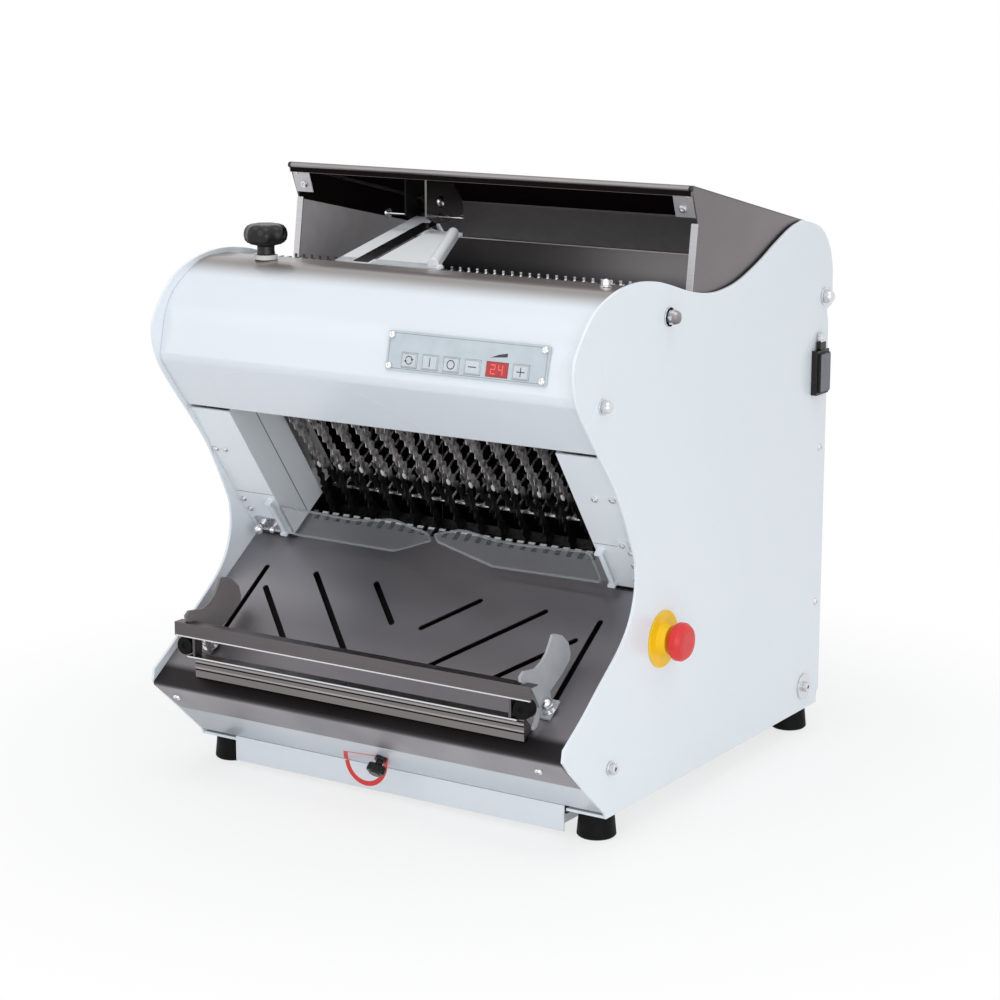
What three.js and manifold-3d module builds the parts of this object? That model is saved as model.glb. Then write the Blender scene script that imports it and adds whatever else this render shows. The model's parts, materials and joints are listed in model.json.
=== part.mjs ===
// Bench-top bread slicer: a loaf slides down a tilted wire floor, through two crossing frames
// of upright blades, and out onto a slotted tray. X runs across the machine, Y from the front
// to the back, Z up from the surface it stands on. Lengths are millimetres, angles degrees.
import * as THREE from 'three'
import { mergeVertices } from 'three/addons/utils/BufferGeometryUtils.js'
import Module from 'manifold-3d'

const wasm = await Module()
wasm.setup()

// driving dimensions
const WIDTH = 520 // over the two side panels
const PANEL_DEPTH = 574 // toe to back of a side panel
const PANEL_HEIGHT = 562 // a side panel without its feet
const PANEL_SHEET = 3
const PANEL_TOE = -16 // Y of the frontmost point of the panels
const PANEL_BOTTOM = 28 // Z of the panels' lower edge
const LEAN = 35 // the blade plane leans this far from upright; the tray slopes as much
const THROAT_Y = 58 // top edge of the exit throat
const THROAT_Z = 398
const THROAT_WIDTH = 408
const TRAY_S = 194 // the tray's face, measured down the throat plane
const TRAY_LENGTH = 272 // lip to the comb at the blades
const BLADE_PITCH = 14.35
const BLADE_COUNT = 28
const STROKE = 12 // each frame moves this far either way

// clearances
const GAP = 0.3 // between touching pieces
const RUN = 0.4 // between a bore and its pin, or a slide and its rail
const OVERRUN = 2 // how far a cutting tool reaches past what it cuts

// sheet thicknesses
const SHEET = 1.5
const THICK_SHEET = 2

const ROUND = 20 // sides of a round piece
const bendLimitShare = 0.49 // a bend takes up to this share of the straight beside it
const SMALL_ROUND = 12

const rad = THREE.MathUtils.degToRad
const SIN = Math.sin(rad(LEAN))
const COS = Math.cos(rad(LEAN))
const inner = WIDTH / 2 - PANEL_SHEET
const span = inner - GAP
const throatHalf = THROAT_WIDTH / 2
const panelRear = PANEL_TOE + PANEL_DEPTH
const panelTop = PANEL_BOTTOM + PANEL_HEIGHT

const group = new THREE.Group()

function point(y, z) {
  return new THREE.Vector2(y, z)
}

// a place in the tilted frame: s down the blade plane, b square to it, back and up
function tilt(s, b) {
  return point(THROAT_Y + s * SIN + b * COS, THROAT_Z - s * COS + b * SIN)
}

// a place on the tray: u up the slope from the lip, h above its face
function onTray(u, h) {
  return tilt(TRAY_S - h, u - TRAY_LENGTH + COMB_B)
}

function polygon(points) {
  return new THREE.Shape(points)
}

function circleHole(y, z, radius, sides = SMALL_ROUND) {
  const corners = Array.from({ length: sides }, (_, i) => {
    const angle = i * Math.PI * 2 / sides
    return point(y + radius * Math.cos(angle), z + radius * Math.sin(angle))
  })
  return new THREE.Path(corners)
}

// extrudes an outline drawn in Y and Z along X
function acrossX(shape, x0, x1, steps = 3) {
  const settings = { depth: x1 - x0, bevelEnabled: false, curveSegments: steps }
  const geometry = new THREE.ExtrudeGeometry(shape, settings)
  const basis = new THREE.Matrix4().makeBasis(
    new THREE.Vector3(0, 1, 0), new THREE.Vector3(0, 0, 1), new THREE.Vector3(1, 0, 0))
  return geometry.applyMatrix4(basis).translate(x0, 0, 0)
}

function boxAt(x0, x1, y0, y1, z0, z1) {
  return new THREE.BoxGeometry(x1 - x0, y1 - y0, z1 - z0)
    .translate((x0 + x1) / 2, (y0 + y1) / 2, (z0 + z1) / 2)
}

function tiltedBox(x0, x1, s0, s1, b0, b1) {
  return acrossX(polygon([tilt(s0, b0), tilt(s1, b0), tilt(s1, b1), tilt(s0, b1)]), x0, x1)
}

// turns a profile of [radius, height] pairs about the line from origin along direction
function turned(profile, origin, direction, sides = ROUND) {
  const geometry = new THREE.LatheGeometry(profile.map(([r, h]) => new THREE.Vector2(r, h)), sides)
  const axis = new THREE.Vector3(0, 1, 0)
  const turn = new THREE.Quaternion().setFromUnitVectors(axis, direction.clone().normalize())
  return geometry.applyQuaternion(turn).translate(origin.x, origin.y, origin.z)
}

function rod(from, to, radius, sides = SMALL_ROUND) {
  const along = to.clone().sub(from)
  const length = along.length()
  return turned([[0, 0], [radius, 0], [radius, length], [0, length]], from, along, sides)
}

function rodX(x0, x1, at, radius, sides = SMALL_ROUND) {
  return rod(new THREE.Vector3(x0, at.x, at.y), new THREE.Vector3(x1, at.x, at.y), radius, sides)
}

// a round tube whose bore runs along X
function ringX(x0, x1, at, outer, bore, sides = ROUND) {
  const shape = new THREE.Shape().absarc(at.x, at.y, outer, 0, Math.PI * 2, false)
  shape.holes.push(circleHole(at.x, at.y, bore, sides))
  return acrossX(shape, x0, x1, sides)
}

function toSolid(geometry) {
  const bare = geometry.clone()
  bare.deleteAttribute('normal')
  bare.deleteAttribute('uv')
  const merged = mergeVertices(bare, 1e-4)
  return new wasm.Manifold(new wasm.Mesh({
    numProp: 3,
    vertProperties: new Float32Array(merged.attributes.position.array),
    triVerts: new Uint32Array(merged.index.array),
  }))
}

function toGeometry(solid) {
  const mesh = solid.getMesh()
  const geometry = new THREE.BufferGeometry()
  const places = new Float32Array(mesh.vertProperties.length / mesh.numProp * 3)
  for (let i = 0; i < places.length / 3; i += 1) {
    for (let k = 0; k < 3; k += 1) places[i * 3 + k] = mesh.vertProperties[i * mesh.numProp + k]
  }
  geometry.setAttribute('position', new THREE.BufferAttribute(places, 3))
  geometry.setIndex(new THREE.BufferAttribute(new Uint32Array(mesh.triVerts), 1))
  geometry.computeVertexNormals()
  return geometry
}

function join(geometries) {
  return toGeometry(geometries.map(toSolid).reduce((a, b) => a.add(b)))
}

function cut(geometry, tools) {
  if (tools.length === 0) return geometry
  const tool = tools.map(toSolid).reduce((a, b) => a.add(b))
  return toGeometry(toSolid(geometry).subtract(tool))
}

// mirrors a geometry to the other side of the machine and keeps its faces pointing out
function mirrored(geometry) {
  const copy = geometry.clone().scale(-1, 1, 1)
  if (!copy.index) {
    const places = copy.attributes.position
    copy.setIndex([...Array(places.count).keys()])
  }
  const index = copy.index.array
  for (let i = 0; i < index.length; i += 3) [index[i], index[i + 2]] = [index[i + 2], index[i]]
  copy.computeVertexNormals()
  return copy
}

// rounds the corners of a bent sheet's path; each corner has its own bend radius
function bent(corners, steps = 4) {
  const out = []
  corners.forEach(([place, radius], i) => {
    if (i === 0 || i === corners.length - 1 || !radius) {
      out.push(place)
      return
    }
    const before = corners[i - 1][0].clone().sub(place)
    const after = corners[i + 1][0].clone().sub(place)
    const half = Math.abs(before.clone().normalize().angleTo(after.clone().normalize())) / 2
    const reach = Math.min(radius / Math.tan(half), before.length() * bendLimitShare,
      after.length() * bendLimitShare)
    const start = place.clone().add(before.setLength(reach))
    const end = place.clone().add(after.setLength(reach))
    const curve = new THREE.QuadraticBezierCurve(start, place, end)
    out.push(...curve.getPoints(steps))
  })
  return out
}

// moves a path to its left by a distance
function offsetPath(path, distance) {
  return path.map((place, i) => {
    const a = path[Math.max(i - 1, 0)]
    const b = path[Math.min(i + 1, path.length - 1)]
    const first = (i === 0 ? b.clone().sub(place) : place.clone().sub(a)).normalize()
    const second = (i === path.length - 1 ? place.clone().sub(a) : b.clone().sub(place)).normalize()
    const normal = point(-first.y - second.y, first.x + second.x).normalize()
    const share = normal.dot(point(-first.y, first.x))
    return place.clone().add(normal.multiplyScalar(distance / share))
  })
}

// closes a sheet's path into an outline of one thickness; the sheet lies to the path's left
function sheetOutline(path, thickness) {
  return polygon([...path, ...offsetPath(path, thickness).reverse()])
}

function finish(color, roughness, metalness, opacity = 1) {
  return new THREE.MeshStandardMaterial({ color, roughness, metalness, opacity, transparent: opacity < 1 })
}

const paint = finish(0xe9eef3, 0.35, 0)
const steel = finish(0x8d898a, 0.32, 0.9)
const bright = finish(0xb9bcc0, 0.2, 1)
const dark = finish(0x3a3838, 0.45, 0.6)
const rubber = finish(0x141414, 0.8, 0)
const black = finish(0x1a1a1b, 0.4, 0)
const clear = finish(0xdfe8ea, 0.08, 0, 0.35)
const nylon = finish(0xd9d8d2, 0.6, 0)
const red = finish(0xc8202a, 0.35, 0)
const yellow = finish(0xf0cf1c, 0.4, 0)
const key = finish(0xe4ebee, 0.45, 0)
const plateBlue = finish(0xb9c6cc, 0.4, 0.2)

function add(name, geometry, material) {
  const mesh = new THREE.Mesh(geometry, material)
  mesh.name = name
  group.add(mesh)
}

function addPair(name, geometry, material) {
  add(`right_${name}`, geometry, material)
  add(`left_${name}`, mirrored(geometry), material)
}

// places that several pieces share
const COMB_B = 43 // the comb's edge, square behind the throat plane
const FOOT_X = 235
const FOOT_FRONT_Y = 91
const FOOT_REAR_INSET = 34 // from the panels' back
const FLANGE_WIDTH = 44
const HOOD_PIVOT_INSET = 21
const HOOD_PIVOT_DROP = 89 // below the panels' highest point
const HOOD_PIN_R = 5
const HOOD_PIN_HEAD_R = 9
const INFEED_BOLT_Y = 182
const INFEED_BOLT_DROP = 68
const BOLT_R = 4
const FRONT_TIE_Y = 74
const FRONT_TIE_Z = 80
const REAR_TIE_INSET = 50
const REAR_TIE_Z = 56
const TIE_R = 5
const ESTOP_Y = 178
const ESTOP_Z = 190
const ESTOP_SHANK_R = 11
const MOTOR_INSET = 100 // the motor's axis from the panels' back
const MOTOR_Z = 118
const CRANK_AHEAD = 128 // of the motor's axis
const CRANK_Z = 150
const STAND_DEPTH = 50

const footRearY = panelRear - FOOT_REAR_INSET
const hoodPivot = point(panelRear - HOOD_PIVOT_INSET, panelTop - HOOD_PIVOT_DROP)
const infeedBolt = point(INFEED_BOLT_Y, panelTop - INFEED_BOLT_DROP)
const frontTie = point(FRONT_TIE_Y, FRONT_TIE_Z)
const rearTie = point(panelRear - REAR_TIE_INSET, REAR_TIE_Z)
const estop = point(ESTOP_Y, ESTOP_Z)
const motorAxis = point(panelRear - MOTOR_INSET, MOTOR_Z)
const crank = point(motorAxis.x - CRANK_AHEAD, CRANK_Z)

// side panels: one sheet each, cut to a wavy outline, with a flange turned in over the feet
const FOOT_STUD_R = 4
// the outline as shares of the panel's depth and height, from its toe and its lower edge
const toeShares = [[0.146, 0], [0.14, 0.012], [0.022, 0.121], [0, 0.146], [0.004, 0.168]]
const frontCurveShares = [
  [0.062, 0.207], [0.117, 0.25], [0.188, 0.305], [0.223, 0.347], [0.24, 0.392], [0.242, 0.434],
  [0.232, 0.473], [0.181, 0.573], [0.131, 0.641], [0.08, 0.705], [0.047, 0.751], [0.03, 0.794],
  [0.029, 0.833], [0.044, 0.863], [0.078, 0.903], [0.115, 0.928], [0.174, 0.947], [0.237, 0.953],
  [0.3, 0.947], [0.348, 0.936], [0.42, 0.916], [0.484, 0.905], [0.54, 0.904], [0.608, 0.914],
  [0.686, 0.94], [0.746, 0.966], [0.807, 0.99], [0.847, 0.999], [0.876, 0.999], [0.943, 0.979],
  [0.983, 0.938], [0.998, 0.892],
]
const backShares = [[1, 0.822], [0.976, 0.814], [0.984, 0.786], [0.984, 0.028], [0.975, 0.02], [0.975, 0]]

function panelPoint([depthShare, heightShare]) {
  return point(PANEL_TOE + depthShare * PANEL_DEPTH, PANEL_BOTTOM + heightShare * PANEL_HEIGHT)
}

function sidePanel() {
  const shape = new THREE.Shape()
  const toe = toeShares.map(panelPoint)
  shape.moveTo(toe[0].x, toe[0].y)
  toe.slice(1).forEach((p) => shape.lineTo(p.x, p.y))
  shape.splineThru(frontCurveShares.map(panelPoint))
  backShares.map(panelPoint).forEach((p) => shape.lineTo(p.x, p.y))
  const holes = [[hoodPivot, HOOD_PIN_R], [infeedBolt, BOLT_R], [frontTie, TIE_R], [rearTie, TIE_R]]
  holes.forEach(([p, r]) => shape.holes.push(circleHole(p.x, p.y, r + RUN)))
  const sheet = acrossX(shape, inner, inner + PANEL_SHEET, 2)
  const [front, back] = [panelPoint(toeShares[0]), panelPoint(backShares[backShares.length - 1])]
  const flange = boxAt(inner - FLANGE_WIDTH, inner + PANEL_SHEET / 2, front.x, back.x,
    PANEL_BOTTOM, PANEL_BOTTOM + PANEL_SHEET)
  const studs = [FOOT_FRONT_Y, footRearY].map((y) => rod(
    new THREE.Vector3(FOOT_X, y, PANEL_BOTTOM - OVERRUN),
    new THREE.Vector3(FOOT_X, y, PANEL_BOTTOM + PANEL_SHEET + OVERRUN), FOOT_STUD_R + RUN))
  return cut(join([sheet, flange]), studs)
}

const plainPanel = sidePanel()
const estopHole = rodX(inner - OVERRUN, inner + PANEL_SHEET + OVERRUN, estop, ESTOP_SHANK_R + RUN, ROUND)
add('right_side_panel', cut(plainPanel, [estopHole]), paint)
add('left_side_panel', mirrored(plainPanel), paint)

// feet: rubber, with a stud and nut up through the panel's flange and the base
const FOOT_R = 20.5
const FOOT_TOP_R = 18
const FOOT_EDGE = 2
const FOOT_NUT_R = 7
const FOOT_NUT_H = 6
const BASE_Z = PANEL_BOTTOM + PANEL_SHEET + GAP
const footTop = PANEL_BOTTOM - GAP
const baseTop = BASE_Z + THICK_SHEET
const footProfile = [
  [0, 0], [FOOT_R - FOOT_EDGE, 0], [FOOT_R, FOOT_EDGE], [FOOT_TOP_R, footTop], [FOOT_STUD_R, footTop],
  [FOOT_STUD_R, baseTop + GAP], [FOOT_NUT_R, baseTop + GAP], [FOOT_NUT_R, baseTop + GAP + FOOT_NUT_H],
  [0, baseTop + GAP + FOOT_NUT_H],
]
for (const [side, sign] of [['right', 1], ['left', -1]]) {
  for (const [end, y] of [['front', FOOT_FRONT_Y], ['rear', footRearY]]) {
    const place = new THREE.Vector3(sign * FOOT_X, y, 0)
    add(`${side}_${end}_foot`, turned(footProfile, place, new THREE.Vector3(0, 0, 1)), rubber)
  }
}

// base: a plate on the flanges, open over the crumb drawer, with a runner down each side of it
const BASE_FRONT_Y = 74
const BASE_REAR_INSET = 24
const BASE_HOLE_HALF = 185
const BASE_HOLE_FRONT = 96
const BASE_HOLE_MARGIN = 5 // ahead of the drive's stand
const RUNNER_X = 208.2
const RUNNER_DROP = 9 // the runner's ledge below the base
const RUNNER_LEDGE = 6
const RUNNER_REAR = 320

function basePlate() {
  const plate = boxAt(-span, span, BASE_FRONT_Y, panelRear - BASE_REAR_INSET, BASE_Z, baseTop)
  const holes = [boxAt(-BASE_HOLE_HALF, BASE_HOLE_HALF, BASE_HOLE_FRONT,
    crank.x - STAND_DEPTH / 2 - BASE_HOLE_MARGIN, BASE_Z - OVERRUN, baseTop + OVERRUN)]
  for (const x of [-FOOT_X, FOOT_X]) {
    for (const y of [FOOT_FRONT_Y, footRearY]) {
      holes.push(rod(new THREE.Vector3(x, y, BASE_Z - OVERRUN), new THREE.Vector3(x, y, baseTop + OVERRUN),
        FOOT_STUD_R + RUN))
    }
  }
  const web = boxAt(RUNNER_X, RUNNER_X + SHEET, BASE_FRONT_Y, RUNNER_REAR,
    BASE_Z - RUNNER_DROP, BASE_Z + SHEET / 2)
  const ledge = boxAt(RUNNER_X - RUNNER_LEDGE, RUNNER_X + SHEET / 2, BASE_FRONT_Y, RUNNER_REAR,
    BASE_Z - RUNNER_DROP, BASE_Z - RUNNER_DROP + SHEET)
  return join([cut(plate, holes), web, ledge, mirrored(web), mirrored(ledge)])
}

add('base_plate', basePlate(), dark)

// crumb drawer: a shallow pan on the runners, with a folded lip each side and a white front
const DRAWER_FRONT_Y = 65.5
const DRAWER_FRONT_HALF = 211.5
const DRAWER_FRONT_LOW = 6
const DRAWER_FRONT_HIGH = 34
const DRAWER_LENGTH = 250
const DRAWER_FLOOR_Z = 8
const drawerLipLow = BASE_Z - RUNNER_DROP + SHEET + GAP
const drawerHalf = RUNNER_X - RUNNER_LEDGE - RUN

function crumbDrawer() {
  const back = DRAWER_FRONT_Y + THICK_SHEET + DRAWER_LENGTH
  const top = drawerLipLow + SHEET
  const outer = boxAt(-drawerHalf, drawerHalf, DRAWER_FRONT_Y + SHEET, back, DRAWER_FLOOR_Z, top)
  const hollow = boxAt(-drawerHalf + SHEET, drawerHalf - SHEET, DRAWER_FRONT_Y + THICK_SHEET, back - SHEET,
    DRAWER_FLOOR_Z + SHEET, top + OVERRUN)
  const lip = boxAt(drawerHalf - SHEET / 2, RUNNER_X - RUN, BASE_FRONT_Y + GAP, back, drawerLipLow, top)
  const front = boxAt(-DRAWER_FRONT_HALF, DRAWER_FRONT_HALF, DRAWER_FRONT_Y, DRAWER_FRONT_Y + THICK_SHEET,
    DRAWER_FRONT_LOW, DRAWER_FRONT_HIGH)
  return join([cut(outer, [hollow]), lip, mirrored(lip), front])
}

add('crumb_drawer', crumbDrawer(), paint)

// rear cover: a flat sheet with a grille of slots and turned edges
const REAR_INSET = 17
const REAR_LOW = 62
const REAR_DROP = 39 // below the hood's pivot
const REAR_RETURN = 14
const VENT_COUNT = 9
const VENT_PITCH = 24
const VENT_WIDTH = 7
const VENT_HIGH = 74
const VENT_LOW_Z = 96

function rearCover() {
  const y = panelRear - REAR_INSET
  const high = hoodPivot.y - REAR_DROP
  const path = bent([
    [point(y - REAR_RETURN, REAR_LOW), 0], [point(y + SHEET, REAR_LOW), SHEET],
    [point(y + SHEET, high), SHEET], [point(y - REAR_RETURN, high), 0],
  ], 2)
  const vents = []
  for (let i = 0; i < VENT_COUNT; i += 1) {
    const x = (i - (VENT_COUNT - 1) / 2) * VENT_PITCH
    vents.push(boxAt(x - VENT_WIDTH / 2, x + VENT_WIDTH / 2, y - OVERRUN, y + SHEET + OVERRUN,
      VENT_LOW_Z, VENT_LOW_Z + VENT_HIGH))
  }
  return cut(acrossX(sheetOutline(path, SHEET), -span, span), vents)
}

add('rear_cover', rearCover(), paint)

// front cowl: one sheet bent over the top, down the leaning face, round the chin and back
const COWL_REAR_Y = 130
const COWL_REAR_LIP = 16
const COWL_TOP_Z = 558
const COWL_BROW_Y = 82
const COWL_FACE_TOP_Y = 24
const COWL_FACE_DROP = 35 // from the top to where the face starts
const COWL_CHIN_Y = 9
const COWL_FACE_HEIGHT = 64
const COWL_EDGE_Y = 54
const COWL_EDGE_Z = 401
const COWL_EDGE_LIP = 7
const COWL_BROW_BEND = 70
const COWL_CHIN_BEND = 14

const cowlFaceTop = point(COWL_FACE_TOP_Y, COWL_TOP_Z - COWL_FACE_DROP)
const cowlChin = point(COWL_CHIN_Y, cowlFaceTop.y - COWL_FACE_HEIGHT)
const faceUp = cowlFaceTop.clone().sub(cowlChin).normalize()
const faceIn = point(faceUp.y, -faceUp.x)

// a place on the cowl's face: v up it from the chin, n into the machine
function onFace(v, n) {
  return cowlChin.clone().add(faceUp.clone().multiplyScalar(v)).add(faceIn.clone().multiplyScalar(n))
}

function faceBox(x0, x1, v0, v1, n0, n1) {
  return acrossX(polygon([onFace(v0, n0), onFace(v0, n1), onFace(v1, n1), onFace(v1, n0)]), x0, x1)
}

const PLATE_X = 34
const PLATE_WIDTH = 188.5
const PLATE_V = 13.5
const PLATE_HEIGHT = 40
const KEY_V = 17.8
const KEY_HEIGHT = 14.6
const KEY_WIDTH = 18.6
const KEY_PROUD = 0.8
const KEY_TRAVEL = 0.6
const KEY_FLANGE = 1
const DISPLAY_WIDTH = 25
// left edges as shares of the plate's width
const keyShares = { mode: 0.098, start: 0.23, stop: 0.362, minus: 0.495, plus: 0.791 }
const displayShare = 0.628
const windowEdge = KEY_FLANGE + RUN

const KNOB_X = -183
const KNOB_Y = 100
const KNOB_BUSH_R = 7

function alongPlate(share) {
  return PLATE_X + share * PLATE_WIDTH
}

const cowlPath = bent([
  [point(COWL_REAR_Y, COWL_TOP_Z - COWL_REAR_LIP), 0],
  [point(COWL_REAR_Y, COWL_TOP_Z), SHEET * 2],
  [point(COWL_BROW_Y, COWL_TOP_Z), COWL_BROW_BEND],
  [cowlFaceTop, COWL_BROW_BEND],
  [cowlChin, COWL_CHIN_BEND],
  [point(COWL_EDGE_Y, COWL_EDGE_Z), SHEET * 2],
  [point(COWL_EDGE_Y + COWL_EDGE_LIP, COWL_EDGE_Z + COWL_EDGE_LIP), 0],
])

function frontCowl() {
  const sheet = acrossX(sheetOutline(cowlPath, THICK_SHEET), -span, span)
  const window = faceBox(alongPlate(keyShares.mode) - windowEdge,
    alongPlate(keyShares.plus) + KEY_WIDTH + windowEdge, KEY_V - windowEdge, KEY_V + KEY_HEIGHT + windowEdge,
    -OVERRUN, THICK_SHEET + OVERRUN)
  const knobHole = rod(new THREE.Vector3(KNOB_X, KNOB_Y, COWL_TOP_Z - THICK_SHEET - OVERRUN),
    new THREE.Vector3(KNOB_X, KNOB_Y, COWL_TOP_Z + OVERRUN), KNOB_BUSH_R + RUN)
  return cut(sheet, [window, knobHole])
}

add('front_cowl', frontCowl(), paint)

// control plate with windows for five keys and a display, each a piece of its own
function controlPlate() {
  const plate = faceBox(PLATE_X, PLATE_X + PLATE_WIDTH, PLATE_V, PLATE_V + PLATE_HEIGHT, -GAP - SHEET, -GAP)
  const hole = (x, width) => faceBox(x - RUN, x + width + RUN, KEY_V - RUN, KEY_V + KEY_HEIGHT + RUN,
    -GAP - SHEET - OVERRUN, OVERRUN)
  const holes = Object.values(keyShares).map((share) => hole(alongPlate(share), KEY_WIDTH))
  return cut(plate, [...holes, hole(alongPlate(displayShare), DISPLAY_WIDTH)])
}

add('control_plate', controlPlate(), plateBlue)
const keyOut = GAP + SHEET + KEY_PROUD
const keyBack = KEY_TRAVEL + GAP

function keyCap(x, width, proud) {
  const back = THICK_SHEET - keyBack
  const cap = faceBox(x, x + width, KEY_V, KEY_V + KEY_HEIGHT, -GAP - SHEET - proud, back / 2)
  const flange = faceBox(x - KEY_FLANGE, x + width + KEY_FLANGE, KEY_V - KEY_FLANGE,
    KEY_V + KEY_HEIGHT + KEY_FLANGE, 0, back)
  return join([cap, flange])
}

for (const [name, share] of Object.entries(keyShares)) {
  add(`${name}_key`, keyCap(alongPlate(share), KEY_WIDTH, KEY_PROUD), key)
}
add('display_window', keyCap(alongPlate(displayShare), DISPLAY_WIDTH, 0), red)

// clamp knob on the cowl: a bush in the sheet, and a lobed head on a stud through it
const KNOB_RING_R = 12.3
const KNOB_RING_H = 5
const KNOB_BUSH_DROP = 10
const KNOB_STUD_R = 4
const KNOB_NECK_R = 9.8
const KNOB_NECK_H = 11
const KNOB_HEAD_R = 21
const KNOB_HEAD_H = 22
const KNOB_LOBES = 7
const KNOB_LOBE_R = 7
const KNOB_EDGE = 4
const up = new THREE.Vector3(0, 0, 1)
const knobBase = COWL_TOP_Z + GAP
const knobRingTop = knobBase + KNOB_RING_H

function knobBush() {
  const low = COWL_TOP_Z - KNOB_BUSH_DROP
  return turned([
    [KNOB_STUD_R + RUN, low], [KNOB_BUSH_R, low], [KNOB_BUSH_R, knobBase], [KNOB_RING_R, knobBase],
    [KNOB_RING_R, knobRingTop - GAP], [KNOB_RING_R - GAP, knobRingTop], [KNOB_STUD_R + RUN, knobRingTop],
    [KNOB_STUD_R + RUN, low],
  ], new THREE.Vector3(KNOB_X, KNOB_Y, 0), up)
}

function lobedHead(center, direction, radius, lobeRadius, lobes, z0, z1, edge) {
  const pieces = [turned([[0, z0], [radius - edge, z0], [radius, z0 + edge], [radius, z1 - edge],
    [radius - edge, z1], [0, z1]], center, direction, ROUND)]
  const turn = new THREE.Quaternion().setFromUnitVectors(up, direction.clone().normalize())
  for (let i = 0; i < lobes; i += 1) {
    const angle = i * Math.PI * 2 / lobes
    const offset = new THREE.Vector3(Math.cos(angle), Math.sin(angle), 0)
      .multiplyScalar(radius - lobeRadius / 2).applyQuaternion(turn)
    pieces.push(turned([[0, z0 + edge / 2], [lobeRadius - edge / 2, z0 + edge / 2], [lobeRadius, z0 + edge],
      [lobeRadius, z1 - edge], [lobeRadius - edge / 2, z1 - edge / 2], [0, z1 - edge / 2]],
    center.clone().add(offset), direction, SMALL_ROUND))
  }
  return pieces
}

function clampKnob() {
  const place = new THREE.Vector3(KNOB_X, KNOB_Y, 0)
  const neck = knobRingTop + GAP
  const head = neck + KNOB_NECK_H
  const studLow = COWL_TOP_Z - KNOB_BUSH_DROP - OVERRUN
  const stud = turned([[0, studLow], [KNOB_STUD_R, studLow], [KNOB_STUD_R, neck + OVERRUN],
    [0, neck + OVERRUN]], place, up, SMALL_ROUND)
  const stem = turned([[0, neck], [KNOB_NECK_R, neck], [KNOB_NECK_R, head + OVERRUN],
    [0, head + OVERRUN]], place, up)
  return join([stud, stem, ...lobedHead(place, up, KNOB_HEAD_R, KNOB_LOBE_R, KNOB_LOBES,
    head, head + KNOB_HEAD_H, KNOB_EDGE)])
}

add('knob_bush', knobBush(), nylon)
add('clamp_knob', clampKnob(), black)

// throat guides: a front plate turned back into the wall that the loaf slides along
const GUIDE_LENGTH = 190
const WALL_B = 66 // how far back the wall reaches
const PIN_X = 211 // the flap's hinge line
const PIN_B = -4.6
const PIN_R = 2.5
const FLAP_TOP_S = 138
const FLAP_LOW_S = 182
const EAR = 3 // thickness of the hinge ears
const EAR_HALF = 4
const BARREL_R = 4.4

function along(s0, s1, x, b, radius, sides = SMALL_ROUND) {
  const [from, to] = [tilt(s0, b), tilt(s1, b)]
  return rod(new THREE.Vector3(x, from.x, from.y), new THREE.Vector3(x, to.x, to.y), radius, sides)
}

function throatGuide() {
  const front = tiltedBox(throatHalf, span, 0, GUIDE_LENGTH, 0, SHEET)
  const wall = tiltedBox(throatHalf, throatHalf + SHEET, 0, GUIDE_LENGTH, 0, WALL_B)
  const ears = [FLAP_TOP_S - GAP - EAR, FLAP_LOW_S + GAP].map((s) => tiltedBox(
    PIN_X - EAR_HALF, PIN_X + EAR_HALF, s, s + EAR, PIN_B - EAR_HALF, SHEET / 2))
  const pin = along(FLAP_TOP_S - GAP - EAR / 2, FLAP_LOW_S + GAP + EAR / 2, PIN_X, PIN_B, PIN_R)
  return join([front, wall, ...ears, pin])
}

addPair('guide', throatGuide(), paint)

// clear flaps: one each side, hinged on the guides, with a hump in the upper edge
const FLAP_SHEET = 3
// distances from the mid line and down the throat plane, as shares of the half width and the guide
const flapTopShares = [
  [0.022, 0.774], [0.2, 0.705], [0.245, 0.705], [0.41, 0.745], [0.54, 0.753], [0.974, 0.727],
]
const flapLowShares = [[0.974, 0.968], [0.31, 0.979], [0.022, 0.837]]
const flapWebShare = 0.96

function clearFlap() {
  const shape = new THREE.Shape([...flapTopShares, ...flapLowShares]
    .map(([xShare, sShare]) => point(xShare * throatHalf, -sShare * GUIDE_LENGTH)))
  const blade = new THREE.ExtrudeGeometry(shape, { depth: FLAP_SHEET, bevelEnabled: false })
  const [origin, step] = [tilt(0, PIN_B - FLAP_SHEET / 2), tilt(0, PIN_B + FLAP_SHEET / 2)]
  const normal = step.sub(origin).normalize()
  const basis = new THREE.Matrix4().makeBasis(new THREE.Vector3(1, 0, 0),
    new THREE.Vector3(0, -SIN, COS), new THREE.Vector3(0, -normal.x, -normal.y))
  const back = tilt(0, PIN_B + FLAP_SHEET / 2)
  blade.applyMatrix4(basis).translate(0, back.x, back.y)
  const barrel = along(FLAP_TOP_S, FLAP_LOW_S, PIN_X, PIN_B, BARREL_R, SMALL_ROUND)
  const web = tiltedBox(flapWebShare * throatHalf, PIN_X, FLAP_TOP_S + EAR, FLAP_LOW_S - EAR,
    PIN_B - FLAP_SHEET / 2, PIN_B + FLAP_SHEET / 2)
  const bore = along(FLAP_TOP_S - OVERRUN, FLAP_LOW_S + OVERRUN, PIN_X, PIN_B, PIN_R + RUN)
  return cut(join([blade, web, barrel]), [bore])
}

addPair('flap', clearFlap(), clear)

// outfeed tray: a sloping sheet with a comb at the blades, slots in it, and a bent-down fascia
const FASCIA_Y = 25
const FASCIA_Z = 71
const FASCIA_LIP = 10
const SLOT_WIDTH = 6.6
const NOTCH_WIDTH = 6.4
const NOTCH_LENGTH = 13
const LIP_BEND = 4
const RAIL_SLOT_X = 214
const railSlotShares = { low: 0.2022, high: 0.6654 }
// each slot's ends: from the mid line as shares of half the throat, and up the tray as shares of it
const slantSlotShares = [
  { far: 0.973, near: 0.652, high: 0.5625, low: 0.3235 },
  { far: 0.723, near: 0.26, high: 0.6728, low: 0.3235 },
  { far: 0.328, near: 0.093, high: 0.6728, low: 0.4963 },
]

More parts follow.
